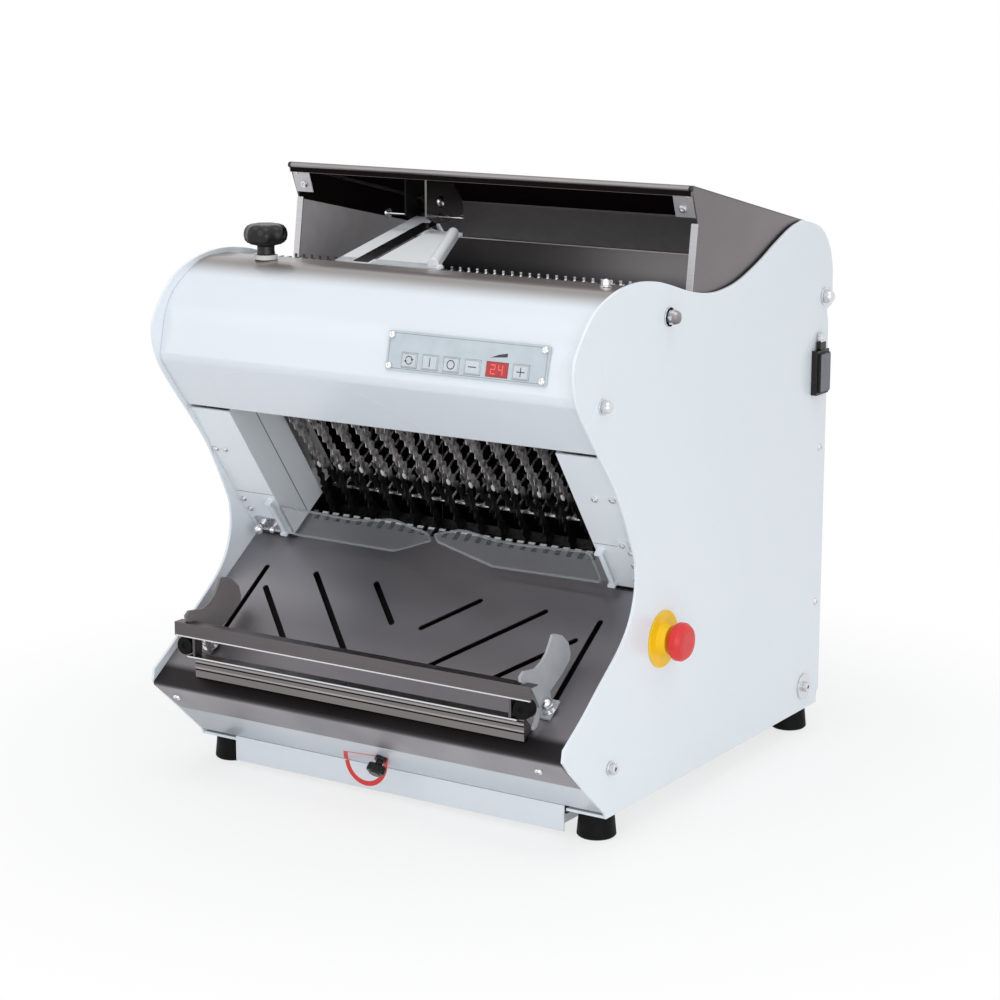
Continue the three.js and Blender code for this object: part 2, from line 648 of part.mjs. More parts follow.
// a slot with round ends through the tray, from (x0, u0) to (x1, u1)
function slotTool(x0, u0, x1, u1) {
  const turn = Math.atan2(u1 - u0, x1 - x0)
  const shape = new THREE.Shape()
  const r = SLOT_WIDTH / 2
  shape.absarc(x1, u1, r, turn - Math.PI / 2, turn + Math.PI / 2, false)
  shape.absarc(x0, u0, r, turn + Math.PI / 2, turn + Math.PI * 1.5, false)
  const depth = THICK_SHEET + OVERRUN * 2
  const tool = new THREE.ExtrudeGeometry(shape, { depth, bevelEnabled: false, curveSegments: 3 })
  const [origin, ahead, above] = [onTray(0, 0), onTray(1, 0), onTray(0, 1)]
  const basis = new THREE.Matrix4().makeBasis(new THREE.Vector3(1, 0, 0),
    new THREE.Vector3(0, ahead.x - origin.x, ahead.y - origin.y),
    new THREE.Vector3(0, above.x - origin.x, above.y - origin.y))
  const low = onTray(0, -THICK_SHEET - OVERRUN)
  return tool.applyMatrix4(basis).translate(0, low.x, low.y)
}

function outfeedTray() {
  const path = bent([
    [onTray(TRAY_LENGTH, 0), 0], [onTray(0, 0), LIP_BEND], [point(FASCIA_Y, FASCIA_Z), SHEET],
    [point(FASCIA_Y + FASCIA_LIP, FASCIA_Z + FASCIA_LIP), 0],
  ])
  const sheet = acrossX(sheetOutline(path, SHEET), -span, span)
  const tools = []
  for (const side of [-1, 1]) {
    tools.push(slotTool(side * RAIL_SLOT_X, railSlotShares.low * TRAY_LENGTH,
      side * RAIL_SLOT_X, railSlotShares.high * TRAY_LENGTH))
    slantSlotShares.forEach(({ far, near, high, low }) => tools.push(slotTool(
      side * far * throatHalf, high * TRAY_LENGTH, side * near * throatHalf, low * TRAY_LENGTH)))
    const corner = [throatHalf - GAP, span + OVERRUN].map((x) => x * side).sort((a, b) => a - b)
    tools.push(tiltedBox(...corner, TRAY_S - OVERRUN * 2, TRAY_S + OVERRUN * 2, -GAP * 2, COMB_B + OVERRUN))
  }
  for (let i = 0; i < BLADE_COUNT; i += 1) {
    const x = (i - (BLADE_COUNT - 1) / 2) * BLADE_PITCH
    tools.push(tiltedBox(x - NOTCH_WIDTH / 2, x + NOTCH_WIDTH / 2, TRAY_S - OVERRUN * 2, TRAY_S + OVERRUN * 2,
      COMB_B - NOTCH_LENGTH, COMB_B + OVERRUN))
  }
  return cut(sheet, tools)
}

add('outfeed_tray', outfeedTray(), steel)

// stop bar on the tray: two arms bolted through the long slots carry an upper and a lower rail
const ARM_X = 210
const ARM_SHEET = 3
const RAIL_HALF = 208
const BOLT_SET = 7 // up the slot from its low end
const BOLT_DOME_R = 7
const BOLT_SHANK_R = 2.8
const BOLT_BELOW = 9
const TAB_LENGTH = 24
// heights above the tray's lip, and distances behind it
const ARM_RISE = 42.3
const ARM_HEIGHT = 68.2
const ARM_AHEAD = 4.3
const ARM_LENGTH = 99.7
// an arm's outline as shares between its front and back and between its low and high points
const armShares = [
  [0.66, 1], [0.71, 1], [0.84, 0.93], [0.96, 0.78], [1, 0.6], [0.98, 0.5], [0.82, 0.33], [0.6, 0.16],
  [0.5, 0.04], [0.44, 0], [0.38, 0.08], [0.28, 0.3], [0.07, 0.5], [0.06, 0.58], [0.12, 0.64], [0.34, 0.6],
  [0.46, 0.66], [0.55, 0.76], [0.61, 0.88],
]

const UPPER_RAIL_HALF = 224
const UPPER_RAIL_SET = 0.8
const UPPER_RAIL_RISE = 58.3
const UPPER_RAIL_H = 15.5
const UPPER_RAIL_DEPTH = 13
const RAIL_POST = 9
const LOWER_RAIL_SET = 14.3
const LOWER_RAIL_DROP = 20 // below the upper rail's lower edge
const LOWER_RAIL_DEPTH = 14

const lip = onTray(0, 0)
const boltU = railSlotShares.low * TRAY_LENGTH + BOLT_SET
const upperRailY = lip.x + UPPER_RAIL_SET
const upperRailZ = lip.y + UPPER_RAIL_RISE
const lowerRailY = lip.x + LOWER_RAIL_SET
const lowerRailZ = upperRailZ - LOWER_RAIL_DROP

function armPoint([yShare, zShare]) {
  return point(lip.x - ARM_AHEAD + yShare * ARM_LENGTH, lip.y + ARM_RISE + zShare * ARM_HEIGHT)
}

// the arm's riser meets its plate between these two of its corners
const riserRear = armPoint(armShares[7])
const riserFront = armPoint(armShares[10])
const boltDomeShares = { cheek: 0.5, shoulder: 1.2, shoulderRadius: 0.75, top: 1.5 }

function stopArm() {
  const shape = new THREE.Shape(armShares.map(armPoint))
  const plate = acrossX(shape, ARM_X - ARM_SHEET / 2, ARM_X + ARM_SHEET / 2)
  const half = TAB_LENGTH / 2
  const tabFoot = acrossX(polygon([onTray(boltU - half, GAP), onTray(boltU + half, GAP),
    onTray(boltU + half, GAP + ARM_SHEET), onTray(boltU - half, GAP + ARM_SHEET)]),
  ARM_X - ARM_SHEET / 2, RAIL_SLOT_X + BOLT_DOME_R)
  const riser = acrossX(polygon([onTray(boltU - half, GAP), onTray(boltU + half, GAP),
    point(riserRear.x, riserRear.y + ARM_SHEET), point(riserFront.x, riserFront.y + ARM_SHEET)]),
  ARM_X - ARM_SHEET / 2, ARM_X + ARM_SHEET / 2)
  const seat = BOLT_BELOW + GAP + ARM_SHEET
  const [low, base] = [onTray(boltU, -BOLT_BELOW), onTray(boltU, GAP + ARM_SHEET)]
  const dome = onTray(boltU, GAP + ARM_SHEET + BOLT_DOME_R)
  const normal = new THREE.Vector3(0, dome.x - base.x, dome.y - base.y)
  const foot = new THREE.Vector3(RAIL_SLOT_X, low.x, low.y)
  const bolt = turned([
    [0, 0], [BOLT_SHANK_R, 0], [BOLT_SHANK_R, seat - ARM_SHEET / 2], [BOLT_DOME_R, seat - ARM_SHEET / 2],
    [BOLT_DOME_R, seat + BOLT_DOME_R * boltDomeShares.cheek],
    [BOLT_DOME_R * boltDomeShares.shoulderRadius, seat + BOLT_DOME_R * boltDomeShares.shoulder],
    [0, seat + BOLT_DOME_R * boltDomeShares.top],
  ], foot, normal, SMALL_ROUND)
  return join([plate, riser, tabFoot, bolt])
}

addPair('stop_arm', stopArm(), steel)

function upperRail() {
  const [back, top] = [upperRailY + UPPER_RAIL_DEPTH, upperRailZ + UPPER_RAIL_H]
  const outer = boxAt(-UPPER_RAIL_HALF, UPPER_RAIL_HALF, upperRailY, back, upperRailZ, top)
  const hollow = boxAt(-UPPER_RAIL_HALF - OVERRUN, UPPER_RAIL_HALF + OVERRUN, upperRailY + SHEET,
    back + OVERRUN, upperRailZ - OVERRUN, top - SHEET)
  const slit = (x) => boxAt(x - ARM_SHEET / 2 - GAP, x + ARM_SHEET / 2 + GAP, upperRailY + SHEET + GAP,
    back + OVERRUN, upperRailZ, top + OVERRUN)
  const posts = [-1, 1].map((side) => side * (RAIL_HALF - RAIL_POST)).map((x) => boxAt(
    x - SHEET, x + SHEET, upperRailY + SHEET / 2, back, lowerRailZ + GAP, top - SHEET / 2))
  return cut(join([cut(outer, [hollow]), ...posts]), [slit(-ARM_X), slit(ARM_X)])
}

add('upper_rail', upperRail(), steel)

function lowerRail() {
  const face = tilt(TRAY_S, 0)
  const slope = (y) => face.y + (y - face.x) * SIN / COS
  const half = RAIL_HALF - GAP
  const front = point(lowerRailY, slope(lowerRailY) + THICK_SHEET)
  const back = point(lowerRailY + LOWER_RAIL_DEPTH, slope(lowerRailY + LOWER_RAIL_DEPTH) + THICK_SHEET)
  const section = polygon([front, back, point(back.x, back.y + THICK_SHEET), point(front.x, lowerRailZ)])
  const web = acrossX(section, -half, half)
  const shelf = boxAt(-half, half, upperRailY, lowerRailY + SHEET, lowerRailZ - SHEET, lowerRailZ)
  return join([web, shelf])
}

add('lower_rail', lowerRail(), steel)

// lower front panel: it carries the fascia's slope on down to the drawer
const LOWER_PANEL_LIP = 9
const lowerSlope = point(DRAWER_FRONT_Y - FASCIA_Y, DRAWER_FRONT_HIGH - FASCIA_Z).normalize()

function lowerFrontPanel() {
  const top = point(FASCIA_Y, FASCIA_Z).add(lowerSlope.clone().multiplyScalar(GAP * 2))
  const low = point(DRAWER_FRONT_Y, DRAWER_FRONT_HIGH).add(lowerSlope.clone().multiplyScalar(-GAP * 4))
  const inward = point(LOWER_PANEL_LIP, LOWER_PANEL_LIP)
  const path = bent([[top.clone().add(inward), 0], [top, SHEET], [low, SHEET],
    [low.clone().add(point(LOWER_PANEL_LIP, 0)), 0]], 2)
  const mid = top.clone().add(low).divideScalar(2)
  const normal = new THREE.Vector3(0, lowerSlope.y, -lowerSlope.x)
  const hole = rod(new THREE.Vector3(0, mid.x, mid.y).addScaledVector(normal, -OVERRUN * 2),
    new THREE.Vector3(0, mid.x, mid.y).addScaledVector(normal, OVERRUN * 2), BOLT_R + RUN)
  return cut(acrossX(sheetOutline(path, SHEET), -span, span), [hole])
}

add('lower_front_panel', lowerFrontPanel(), paint)

// drawer lock: a three-lobed knob on a spindle through the panel, with a catch behind it
const LOCK_STEM = 9
const LOCK_HEAD_R = 8
const LOCK_LOBE_R = 5.5
const LOCK_LOBES = 3
const LOCK_HEAD_H = 11
const LOCK_COLLAR_R = 6.5
const LOCK_CATCH = 14
const LOCK_BEHIND = 6

function drawerLock() {
  const mid = point((FASCIA_Y + DRAWER_FRONT_Y) / 2, (FASCIA_Z + DRAWER_FRONT_HIGH) / 2)
    .add(lowerSlope.clone().multiplyScalar(-GAP))
  const out = new THREE.Vector3(0, lowerSlope.y, -lowerSlope.x)
  const place = new THREE.Vector3(0, mid.x, mid.y)
  const disc = (radius, h0, h1) => turned(
    [[0, h0], [radius, h0], [radius, h1], [0, h1]], place, out, SMALL_ROUND)
  const spindle = disc(BOLT_R, -LOCK_BEHIND, LOCK_STEM + OVERRUN)
  const collar = disc(LOCK_COLLAR_R, GAP, LOCK_STEM / 2)
  const catchPlate = disc(LOCK_CATCH / 2, -LOCK_BEHIND, -LOCK_BEHIND + THICK_SHEET)
  return join([spindle, collar, catchPlate, ...lobedHead(place, out, LOCK_HEAD_R, LOCK_LOBE_R, LOCK_LOBES,
    LOCK_STEM, LOCK_STEM + LOCK_HEAD_H, THICK_SHEET)])
}

add('drawer_lock_knob', drawerLock(), black)

// blade frames: they cross at an angle, so that the loaf is held where it is cut
const CROSS = 9 // each frame's plane turns this far from the throat plane
const CROSS_S = 150
const CROSS_B = 68
const FRAME_TOP_S = -62
const FRAME_LOW_S = 236
const BAR_DEPTH = 12
const BAR_HEIGHT = 12
const MEMBER_WIDTH = 11
const FRONT_MEMBER_X = 213
const REAR_MEMBER_X = 229
const BLADE_WIDTH = 12
const BLADE_SHEET = 0.9
const HOLDER = 5

// a frame's own plane: p down it from the crossing line, q square to it
function inFrame(turnShare, p, q) {
  const angle = rad(CROSS * turnShare)
  const [c, s] = [Math.cos(angle), Math.sin(angle)]
  return tilt(CROSS_S + p * c - q * s, CROSS_B + p * s + q * c)
}

function frameBox(turnShare, x0, x1, p0, p1, q0, q1) {
  return acrossX(polygon([inFrame(turnShare, p0, q0), inFrame(turnShare, p1, q0), inFrame(turnShare, p1, q1),
    inFrame(turnShare, p0, q1)]), x0, x1)
}

const topP = (FRAME_TOP_S - CROSS_S) / Math.cos(rad(CROSS))
const lowP = (FRAME_LOW_S - CROSS_S) / Math.cos(rad(CROSS))
const WRIST_R = 5
const WRIST_DROP = 25
const ROD_X = 84
const ROD_THICK = 8
const FORK_SHEET = 4
const lugShares = { below: 1.5, half: 1.4 } // of the pin's radius

function bladeFrame(turnShare, memberX, rodX0) {
  const outer = memberX + MEMBER_WIDTH
  const bar = (p0, p1) => frameBox(turnShare, -outer, outer, p0, p1, -BAR_DEPTH / 2, BAR_DEPTH / 2)
  const member = frameBox(turnShare, memberX, outer, topP, lowP, -BAR_DEPTH / 2 + GAP, BAR_DEPTH / 2 - GAP)
  const lugHalf = WRIST_R * lugShares.half
  const lug = frameBox(turnShare, rodX0 - ROD_THICK / 2 - GAP - FORK_SHEET, rodX0 - ROD_THICK / 2 - GAP,
    lowP + BAR_HEIGHT / 2, lowP + WRIST_DROP + WRIST_R * lugShares.below, -lugHalf, lugHalf)
  const pinAt = inFrame(turnShare, lowP + WRIST_DROP, 0)
  const pin = rodX(rodX0 - ROD_THICK / 2 - GAP - FORK_SHEET / 2, rodX0 + ROD_THICK / 2 + GAP, pinAt, WRIST_R)
  return join([bar(topP - BAR_HEIGHT, topP), bar(lowP, lowP + BAR_HEIGHT), member, mirrored(member), lug, pin])
}

function bladeSet(turnShare, first) {
  const half = throatHalf - OVERRUN
  const pieces = [
    frameBox(turnShare, -half, half, topP + GAP, topP + GAP + HOLDER, -BAR_DEPTH / 2, BAR_DEPTH / 2),
    frameBox(turnShare, -half, half, lowP - GAP - HOLDER, lowP - GAP, -BAR_DEPTH / 2, BAR_DEPTH / 2),
  ]
  for (let i = first; i < BLADE_COUNT; i += 2) {
    const x = (i - (BLADE_COUNT - 1) / 2) * BLADE_PITCH
    pieces.push(frameBox(turnShare, x - BLADE_SHEET / 2, x + BLADE_SHEET / 2, topP + GAP + HOLDER / 2,
      lowP - GAP - HOLDER / 2, -BLADE_WIDTH / 2 + GAP / 2, BLADE_WIDTH / 2 - GAP / 2))
  }
  return join(pieces)
}

add('front_blade_frame', bladeFrame(1, FRONT_MEMBER_X, -ROD_X), steel)
add('rear_blade_frame', bladeFrame(-1, REAR_MEMBER_X, ROD_X), steel)
add('front_blade_set', bladeSet(1, 1), bright)
add('rear_blade_set', bladeSet(-1, 0), bright)

// frame guides: a block each side, slotted for the upright members of both frames
const GUIDE_X = throatHalf + SHEET + GAP
const GUIDE_S0 = 12
const GUIDE_S1 = 186
const GUIDE_B0 = 34
const GUIDE_B1 = 104
const GUIDE_RIM = 24.7 // solid above and below the window

function frameGuide() {
  const block = tiltedBox(GUIDE_X, span, GUIDE_S0, GUIDE_S1, GUIDE_B0, GUIDE_B1)
  const slot = (turnShare, x) => frameBox(turnShare, x - RUN, x + MEMBER_WIDTH + RUN, topP * 2, lowP * 2,
    -BAR_DEPTH / 2 - RUN, BAR_DEPTH / 2 + RUN)
  const window = tiltedBox(GUIDE_X - OVERRUN, span + OVERRUN, GUIDE_S0 + GUIDE_RIM, GUIDE_S1 - GUIDE_RIM,
    GUIDE_B0 + HOLDER, GUIDE_B1 - HOLDER)
  return cut(block, [slot(1, FRONT_MEMBER_X), slot(-1, REAR_MEMBER_X), window])
}

addPair('frame_guide', frameGuide(), nylon)

// infeed: walls, a wire floor level with the tray, and a plate that closes the back
const INFEED_B = 98
const INFEED_TOP_RISE = 6 // of the walls over their front bolts
const INFEED_REAR_Y = 405
const INFEED_FRONT_S = -14
const INFEED_LOW_S = 204
const INFEED_END_B = 318
const GRID_B = 86
const WIRE_R = 1.6
const CROSS_WIRE_R = 2.4
const GRID_END_GAP = 9.6
const SPACER_R = 8
const REAR_STUD_B = 300
const REAR_STUD_S = 186
const DOME_R = 7.5
const DOME_H = 13
const WASHER_R = 10
const WASHER_T = 1.5
const domeShares = { cheek: 0.5, shoulder: 0.85, shoulderRadius: 0.8 }

// a washer and dome nut on a bolt that comes out through the side panel
function domeNut(at, shankFrom) {
  const out = inner + PANEL_SHEET + GAP
  return turned([
    [0, shankFrom], [BOLT_R, shankFrom], [BOLT_R, out], [WASHER_R, out], [WASHER_R, out + WASHER_T],
    [DOME_R, out + WASHER_T], [DOME_R, out + DOME_H * domeShares.cheek],
    [DOME_R * domeShares.shoulderRadius, out + DOME_H * domeShares.shoulder], [0, out + DOME_H],
  ], new THREE.Vector3(0, at.x, at.y), new THREE.Vector3(1, 0, 0), SMALL_ROUND)
}

const infeedTop = infeedBolt.y + INFEED_TOP_RISE

function infeedWall() {
  const wall = acrossX(polygon([
    tilt(INFEED_FRONT_S, INFEED_B), tilt(INFEED_LOW_S, INFEED_B), tilt(INFEED_LOW_S, INFEED_END_B),
    point(INFEED_REAR_Y, infeedTop), point(INFEED_BOLT_Y - SPACER_R * 2, infeedTop),
  ]), throatHalf, throatHalf + SHEET)
  const spacer = rodX(throatHalf + SHEET / 2, span, infeedBolt, SPACER_R)
  const rearSpacer = rodX(throatHalf + SHEET / 2, span, tilt(REAR_STUD_S, REAR_STUD_B), SPACER_R)
  return join([wall, spacer, rearSpacer, domeNut(infeedBolt, span - OVERRUN)])
}

addPair('infeed_wall', infeedWall(), steel)

function infeedGrid() {
  const pieces = []
  const half = throatHalf - GAP
  for (let i = 0; i <= BLADE_COUNT; i += 1) {
    const x = (i - BLADE_COUNT / 2) * BLADE_PITCH
    const [from, to] = [tilt(TRAY_S + WIRE_R, GRID_B), tilt(TRAY_S + WIRE_R, INFEED_END_B - GRID_END_GAP)]
    pieces.push(rod(new THREE.Vector3(x, from.x, from.y), new THREE.Vector3(x, to.x, to.y), WIRE_R, 4))
  }
  for (const b of [GRID_B, INFEED_END_B - GRID_END_GAP]) {
    pieces.push(rodX(-half, half, tilt(TRAY_S + WIRE_R + CROSS_WIRE_R / 2, b), CROSS_WIRE_R, 6))
  }
  return join(pieces)
}

add('infeed_grid', infeedGrid(), bright)

const BACK_TOP_RISE = 28 // over the walls' top
const BACK_TOP_LIP = 18
const BACK_FOOT = 6

function infeedBack() {
  const half = throatHalf - GAP
  const top = infeedTop + BACK_TOP_RISE
  const path = bent([
    [tilt(INFEED_LOW_S, INFEED_END_B - BACK_FOOT), 0],
    [tilt(INFEED_LOW_S - SHEET, INFEED_END_B - SHEET), SHEET],
    [point(INFEED_REAR_Y, top), SHEET], [point(INFEED_REAR_Y - BACK_TOP_LIP, top + SHEET), 0],
  ], 2)
  return acrossX(sheetOutline(path, SHEET), -half, half)
}

add('infeed_back_plate', infeedBack(), steel)

// hood: a stainless lid with sides that drop between the panels, hinged at the back
const HOOD_FRONT_Y = 235
const HOOD_LIP = 12
const HOOD_SIDE_GAP = 2.5
const HOOD_SIDE_FRONT_Y = 241
const HOOD_BELLY_Y = 310
// heights over the pivot, and distances behind it
const HOOD_FRONT_RISE = 147.5
const HOOD_SIDE_FRONT_RISE = 39
const HOOD_BELLY_DROP = 1
const HOOD_REAR_AHEAD = 37
const HOOD_REAR_RISE = 86.5
const HOOD_REAR_BEND = 24
const HOOD_TAIL_BEHIND = 11
const HOOD_TAIL_RISE = 34
const HOOD_LOW_AHEAD = 17
const HOOD_LOW_DROP = 23
const HOOD_HEEL_BEHIND = 14

const hoodFront = point(HOOD_FRONT_Y, hoodPivot.y + HOOD_FRONT_RISE)
const hoodRear = point(hoodPivot.x - HOOD_REAR_AHEAD, hoodPivot.y + HOOD_REAR_RISE)

function hood() {
  const half = inner - HOOD_SIDE_GAP
  const path = bent([
    [point(hoodPivot.x + HOOD_TAIL_BEHIND, hoodPivot.y + HOOD_TAIL_RISE), 0], [hoodRear, HOOD_REAR_BEND],
    [hoodFront, SHEET * 2], [point(hoodFront.x + SHEET, hoodFront.y - HOOD_LIP), 0],
  ])
  const sheet = acrossX(sheetOutline(path, SHEET), -half, half)
  const outline = polygon([
    ...offsetPath(path, SHEET / 2).slice(1, -1),
    point(HOOD_SIDE_FRONT_Y, hoodPivot.y + HOOD_SIDE_FRONT_RISE),
    point(HOOD_BELLY_Y, hoodPivot.y - HOOD_BELLY_DROP),
    point(hoodPivot.x - HOOD_LOW_AHEAD, hoodPivot.y - HOOD_LOW_DROP),
    point(hoodPivot.x + HOOD_HEEL_BEHIND, hoodPivot.y - HOOD_BELLY_DROP),
  ])
  outline.holes.push(circleHole(hoodPivot.x, hoodPivot.y, HOOD_PIN_R + RUN))
  const side = acrossX(outline, half - SHEET, half, 3)
  return join([sheet, side, mirrored(side)])
}

add('hood', hood(), steel)

function hoodPin() {
  const out = inner + PANEL_SHEET + GAP
  const head = inner - HOOD_SIDE_GAP - SHEET - GAP
  return turned([
    [0, head - HOOD_PIN_R], [HOOD_PIN_HEAD_R, head - HOOD_PIN_R], [HOOD_PIN_HEAD_R, head], [HOOD_PIN_R, head],
    [HOOD_PIN_R, out], [WASHER_R, out], [WASHER_R, out + WASHER_T], [DOME_R, out + WASHER_T],
    [DOME_R, out + DOME_H * domeShares.cheek],
    [DOME_R * domeShares.shoulderRadius, out + DOME_H * domeShares.shoulder], [0, out + DOME_H],
  ], new THREE.Vector3(0, hoodPivot.x, hoodPivot.y), new THREE.Vector3(1, 0, 0), SMALL_ROUND)
}

addPair('hood_pin', hoodPin(), bright)

// presser: an arm that hangs from a bracket under the hood and holds the loaf down
const PRESS_X = -110
const PRESS_WIDTH = 24
const PRESS_PIVOT_Y = 300
const PRESS_HANG = 42 // the pivot's depth below the hood
const PRESS_LENGTH = 163
const PRESS_SLOPE = 12.2
const PRESS_SHEET = 4
const PRESS_FOOT = 12
const PRESS_PIN_R = 4
const BRACKET_SHEET = 2.5
const BRACKET_FRONT_Y = 286
const BRACKET_REAR_Y = 340
const BRACKET_HOLE_R = 7
const FIN_NEAR = 34 // the white plate beside the arm starts this far from the arm's mid line
const FIN_FAR = 118
const FIN_FAR_REAR = 77
const finRearShare = 0.36 // where the plate starts along the arm

const hoodSlope = Math.atan2(hoodFront.y - hoodRear.y, hoodRear.x - hoodFront.x)

function hoodUnder(y) {
  return hoodFront.y - (y - hoodFront.x) * Math.tan(hoodSlope) - SHEET / Math.cos(hoodSlope)
}

const pressPivot = point(PRESS_PIVOT_Y, hoodUnder(PRESS_PIVOT_Y) - PRESS_HANG)
const cheekShares = { nose: 2.2, heel: 3, holeBack: 1.4, holeRise: 3 } // of the pin's and the hole's radius

function hoodBracket() {
  const roof = [BRACKET_FRONT_Y, BRACKET_REAR_Y].map((y) => point(y, hoodUnder(y) - GAP))
  const cheekLow = pressPivot.y - PRESS_PIN_R
  const cheek = polygon([roof[1], roof[0], point(BRACKET_FRONT_Y, cheekLow),
    point(pressPivot.x, pressPivot.y - PRESS_PIN_R * cheekShares.nose),
    point(pressPivot.x + PRESS_PIN_R * cheekShares.heel, cheekLow)])
  cheek.holes.push(circleHole(pressPivot.x + BRACKET_HOLE_R * cheekShares.holeBack,
    pressPivot.y + BRACKET_HOLE_R * cheekShares.holeRise, BRACKET_HOLE_R))
  const reach = PRESS_WIDTH / 2 + GAP
  const cheeks = [-1, 1].map((side) => {
    const [a, b] = [side * reach, side * (reach + BRACKET_SHEET)].sort((m, n) => m - n)
    return acrossX(cheek, PRESS_X + a, PRESS_X + b, 4)
  })
  const section = polygon([roof[0], roof[1], point(roof[1].x, roof[1].y - BRACKET_SHEET),
    point(roof[0].x, roof[0].y - BRACKET_SHEET)])
  const half = reach + BRACKET_SHEET
  const top = acrossX(section, PRESS_X - half, PRESS_X + half)
  const pinHalf = reach + BRACKET_SHEET / 2
  const pin = rodX(PRESS_X - pinHalf, PRESS_X + pinHalf, pressPivot, PRESS_PIN_R)
  return join([...cheeks, top, pin])
}

add('hood_bracket', hoodBracket(), steel)

function presserArm() {
  const ahead = point(-Math.cos(rad(PRESS_SLOPE)), -Math.sin(rad(PRESS_SLOPE)))
  const above = point(ahead.y, -ahead.x)
  const at = (d, h) => pressPivot.clone()
    .add(ahead.clone().multiplyScalar(d)).add(above.clone().multiplyScalar(h))
  const slab = (x0, x1, d0, d1) => acrossX(polygon([at(d0, -PRESS_SHEET / 2), at(d1, -PRESS_SHEET / 2),
    at(d1, PRESS_SHEET / 2), at(d0, PRESS_SHEET / 2)]), PRESS_X + x0, PRESS_X + x1)
  const bar = slab(-PRESS_WIDTH / 2, PRESS_WIDTH / 2, PRESS_PIN_R, PRESS_LENGTH)
  const barrel = rodX(PRESS_X - PRESS_WIDTH / 2, PRESS_X + PRESS_WIDTH / 2, pressPivot, PRESS_PIN_R * 2)
  const foot = slab(-PRESS_WIDTH / 2, FIN_FAR, PRESS_LENGTH - PRESS_FOOT, PRESS_LENGTH)
  const finRear = PRESS_LENGTH * finRearShare
  const shape = new THREE.Shape([
    point(FIN_NEAR, PRESS_LENGTH), point(FIN_FAR, PRESS_LENGTH),
    point(FIN_FAR_REAR, finRear), point(FIN_NEAR, finRear - PRESS_FOOT),
  ])
  const fin = new THREE.ExtrudeGeometry(shape, { depth: PRESS_SHEET, bevelEnabled: false })
  const start = at(0, PRESS_SHEET / 2)
  fin.applyMatrix4(new THREE.Matrix4().makeBasis(new THREE.Vector3(1, 0, 0),
    new THREE.Vector3(0, ahead.x, ahead.y), new THREE.Vector3(0, -above.x, -above.y)))
    .translate(PRESS_X, start.x, start.y)
  const brace = slab(-PRESS_WIDTH / 2, FIN_FAR_REAR, finRear - PRESS_SHEET * 2, finRear + PRESS_SHEET)
  const bore = rodX(PRESS_X - PRESS_WIDTH, PRESS_X + PRESS_WIDTH, pressPivot, PRESS_PIN_R + RUN)
  return cut(join([bar, barrel, foot, fin, brace]), [bore])
}

add('presser_arm', presserArm(), paint)

// finger strip behind the cowl: the presser's tip lies on it
const STRIP_FRONT_Y = 136
const STRIP_BAR = 12
const STRIP_FLANGE = 18
const STRIP_TOOTH = 20
const STRIP_TOOTH_WIDTH = 5.4
const STRIP_PITCH = 10.7
const tipLow = pressPivot.y - PRESS_LENGTH * Math.sin(rad(PRESS_SLOPE))
  - PRESS_SHEET / 2 * Math.cos(rad(PRESS_SLOPE))

function fingerStrip() {
  const top = tipLow - GAP
  const rear = STRIP_FRONT_Y + STRIP_BAR
  const pieces = [
    boxAt(-span, span, STRIP_FRONT_Y, rear, top - THICK_SHEET, top),
    boxAt(-span, span, STRIP_FRONT_Y, STRIP_FRONT_Y + THICK_SHEET, top - STRIP_FLANGE, top - THICK_SHEET / 2),
  ]
  const count = Math.floor((span * 2 - STRIP_TOOTH_WIDTH) / STRIP_PITCH)
  for (let i = 0; i < count; i += 1) {
    const x = (i - (count - 1) / 2) * STRIP_PITCH
    pieces.push(boxAt(x - STRIP_TOOTH_WIDTH / 2, x + STRIP_TOOTH_WIDTH / 2, rear - OVERRUN, rear + STRIP_TOOTH,
      top - THICK_SHEET, top))
  }
  return join(pieces)
}

add('finger_strip', fingerStrip(), steel)

// tie rods between the panels, low at the front and at the back
const TIE_DISC_R = 15
const TIE_DISC_T = 2
const TIE_HEX_R = 6
const TIE_HEX_H = 5

function tieRod(at, discR) {
  const out = inner + PANEL_SHEET + GAP
  const face = out + TIE_DISC_T
  const end = face + TIE_HEX_H
  const profile = [
    [0, -end], [TIE_HEX_R, -end], [TIE_HEX_R, -face], [discR, -face], [discR, -out], [TIE_R, -out],
  ]
  const other = profile.map(([r, x]) => [r, -x]).reverse()
  const place = new THREE.Vector3(0, at.x, at.y)
  return turned([...profile, ...other], place, new THREE.Vector3(1, 0, 0), SMALL_ROUND)
}

add('front_tie_rod', tieRod(frontTie, TIE_HEX_R + SHEET), bright)
add('rear_tie_rod', tieRod(rearTie, TIE_DISC_R), bright)

// drive: a motor turns the crankshaft by a belt; one rod runs from each crank to its frame
const CRANK_R = 10
const WEB_R = 25
const WEB_T = 10
const WEB_X = 66
const PIN_STUB = 5
const CRANK_PIN_R = 6
const BEARING_X = 42
const BEARING_T = 14
const BEARING_R = 21
const BEARING_FOOT = 33.6
const STAND_HALF = 58
const STAND_T = 5
const DRIVEN_R = 45
const MOTOR_PULLEY_R = 25
const PULLEY_T = 16
const BELT_T = 5
const MOTOR_R = 56
const MOTOR_X = 30
const MOTOR_LENGTH = 176
const MOTOR_SHAFT_R = 7
const MOTOR_BORE_DEPTH = 40
const MOTOR_FOOT_T = 5
const MOTOR_FOOT_HALF = 50
const PEDESTAL_HALF = 30
const motorNoseShares = { face: 0.6, slope: 0.25 }
const motorTailShares = { face: 0.85, slope: 0.3 }

const wristFront = inFrame(1, lowP + WRIST_DROP, 0)
const wristRear = inFrame(-1, lowP + WRIST_DROP, 0)

// a crank pin lies square to its rod's line when the frame is in mid stroke
function crankPinAt(wrist, side) {
  const line = crank.clone().sub(wrist).normalize()
  return crank.clone().add(point(-line.y, line.x).multiplyScalar(side * STROKE))
}

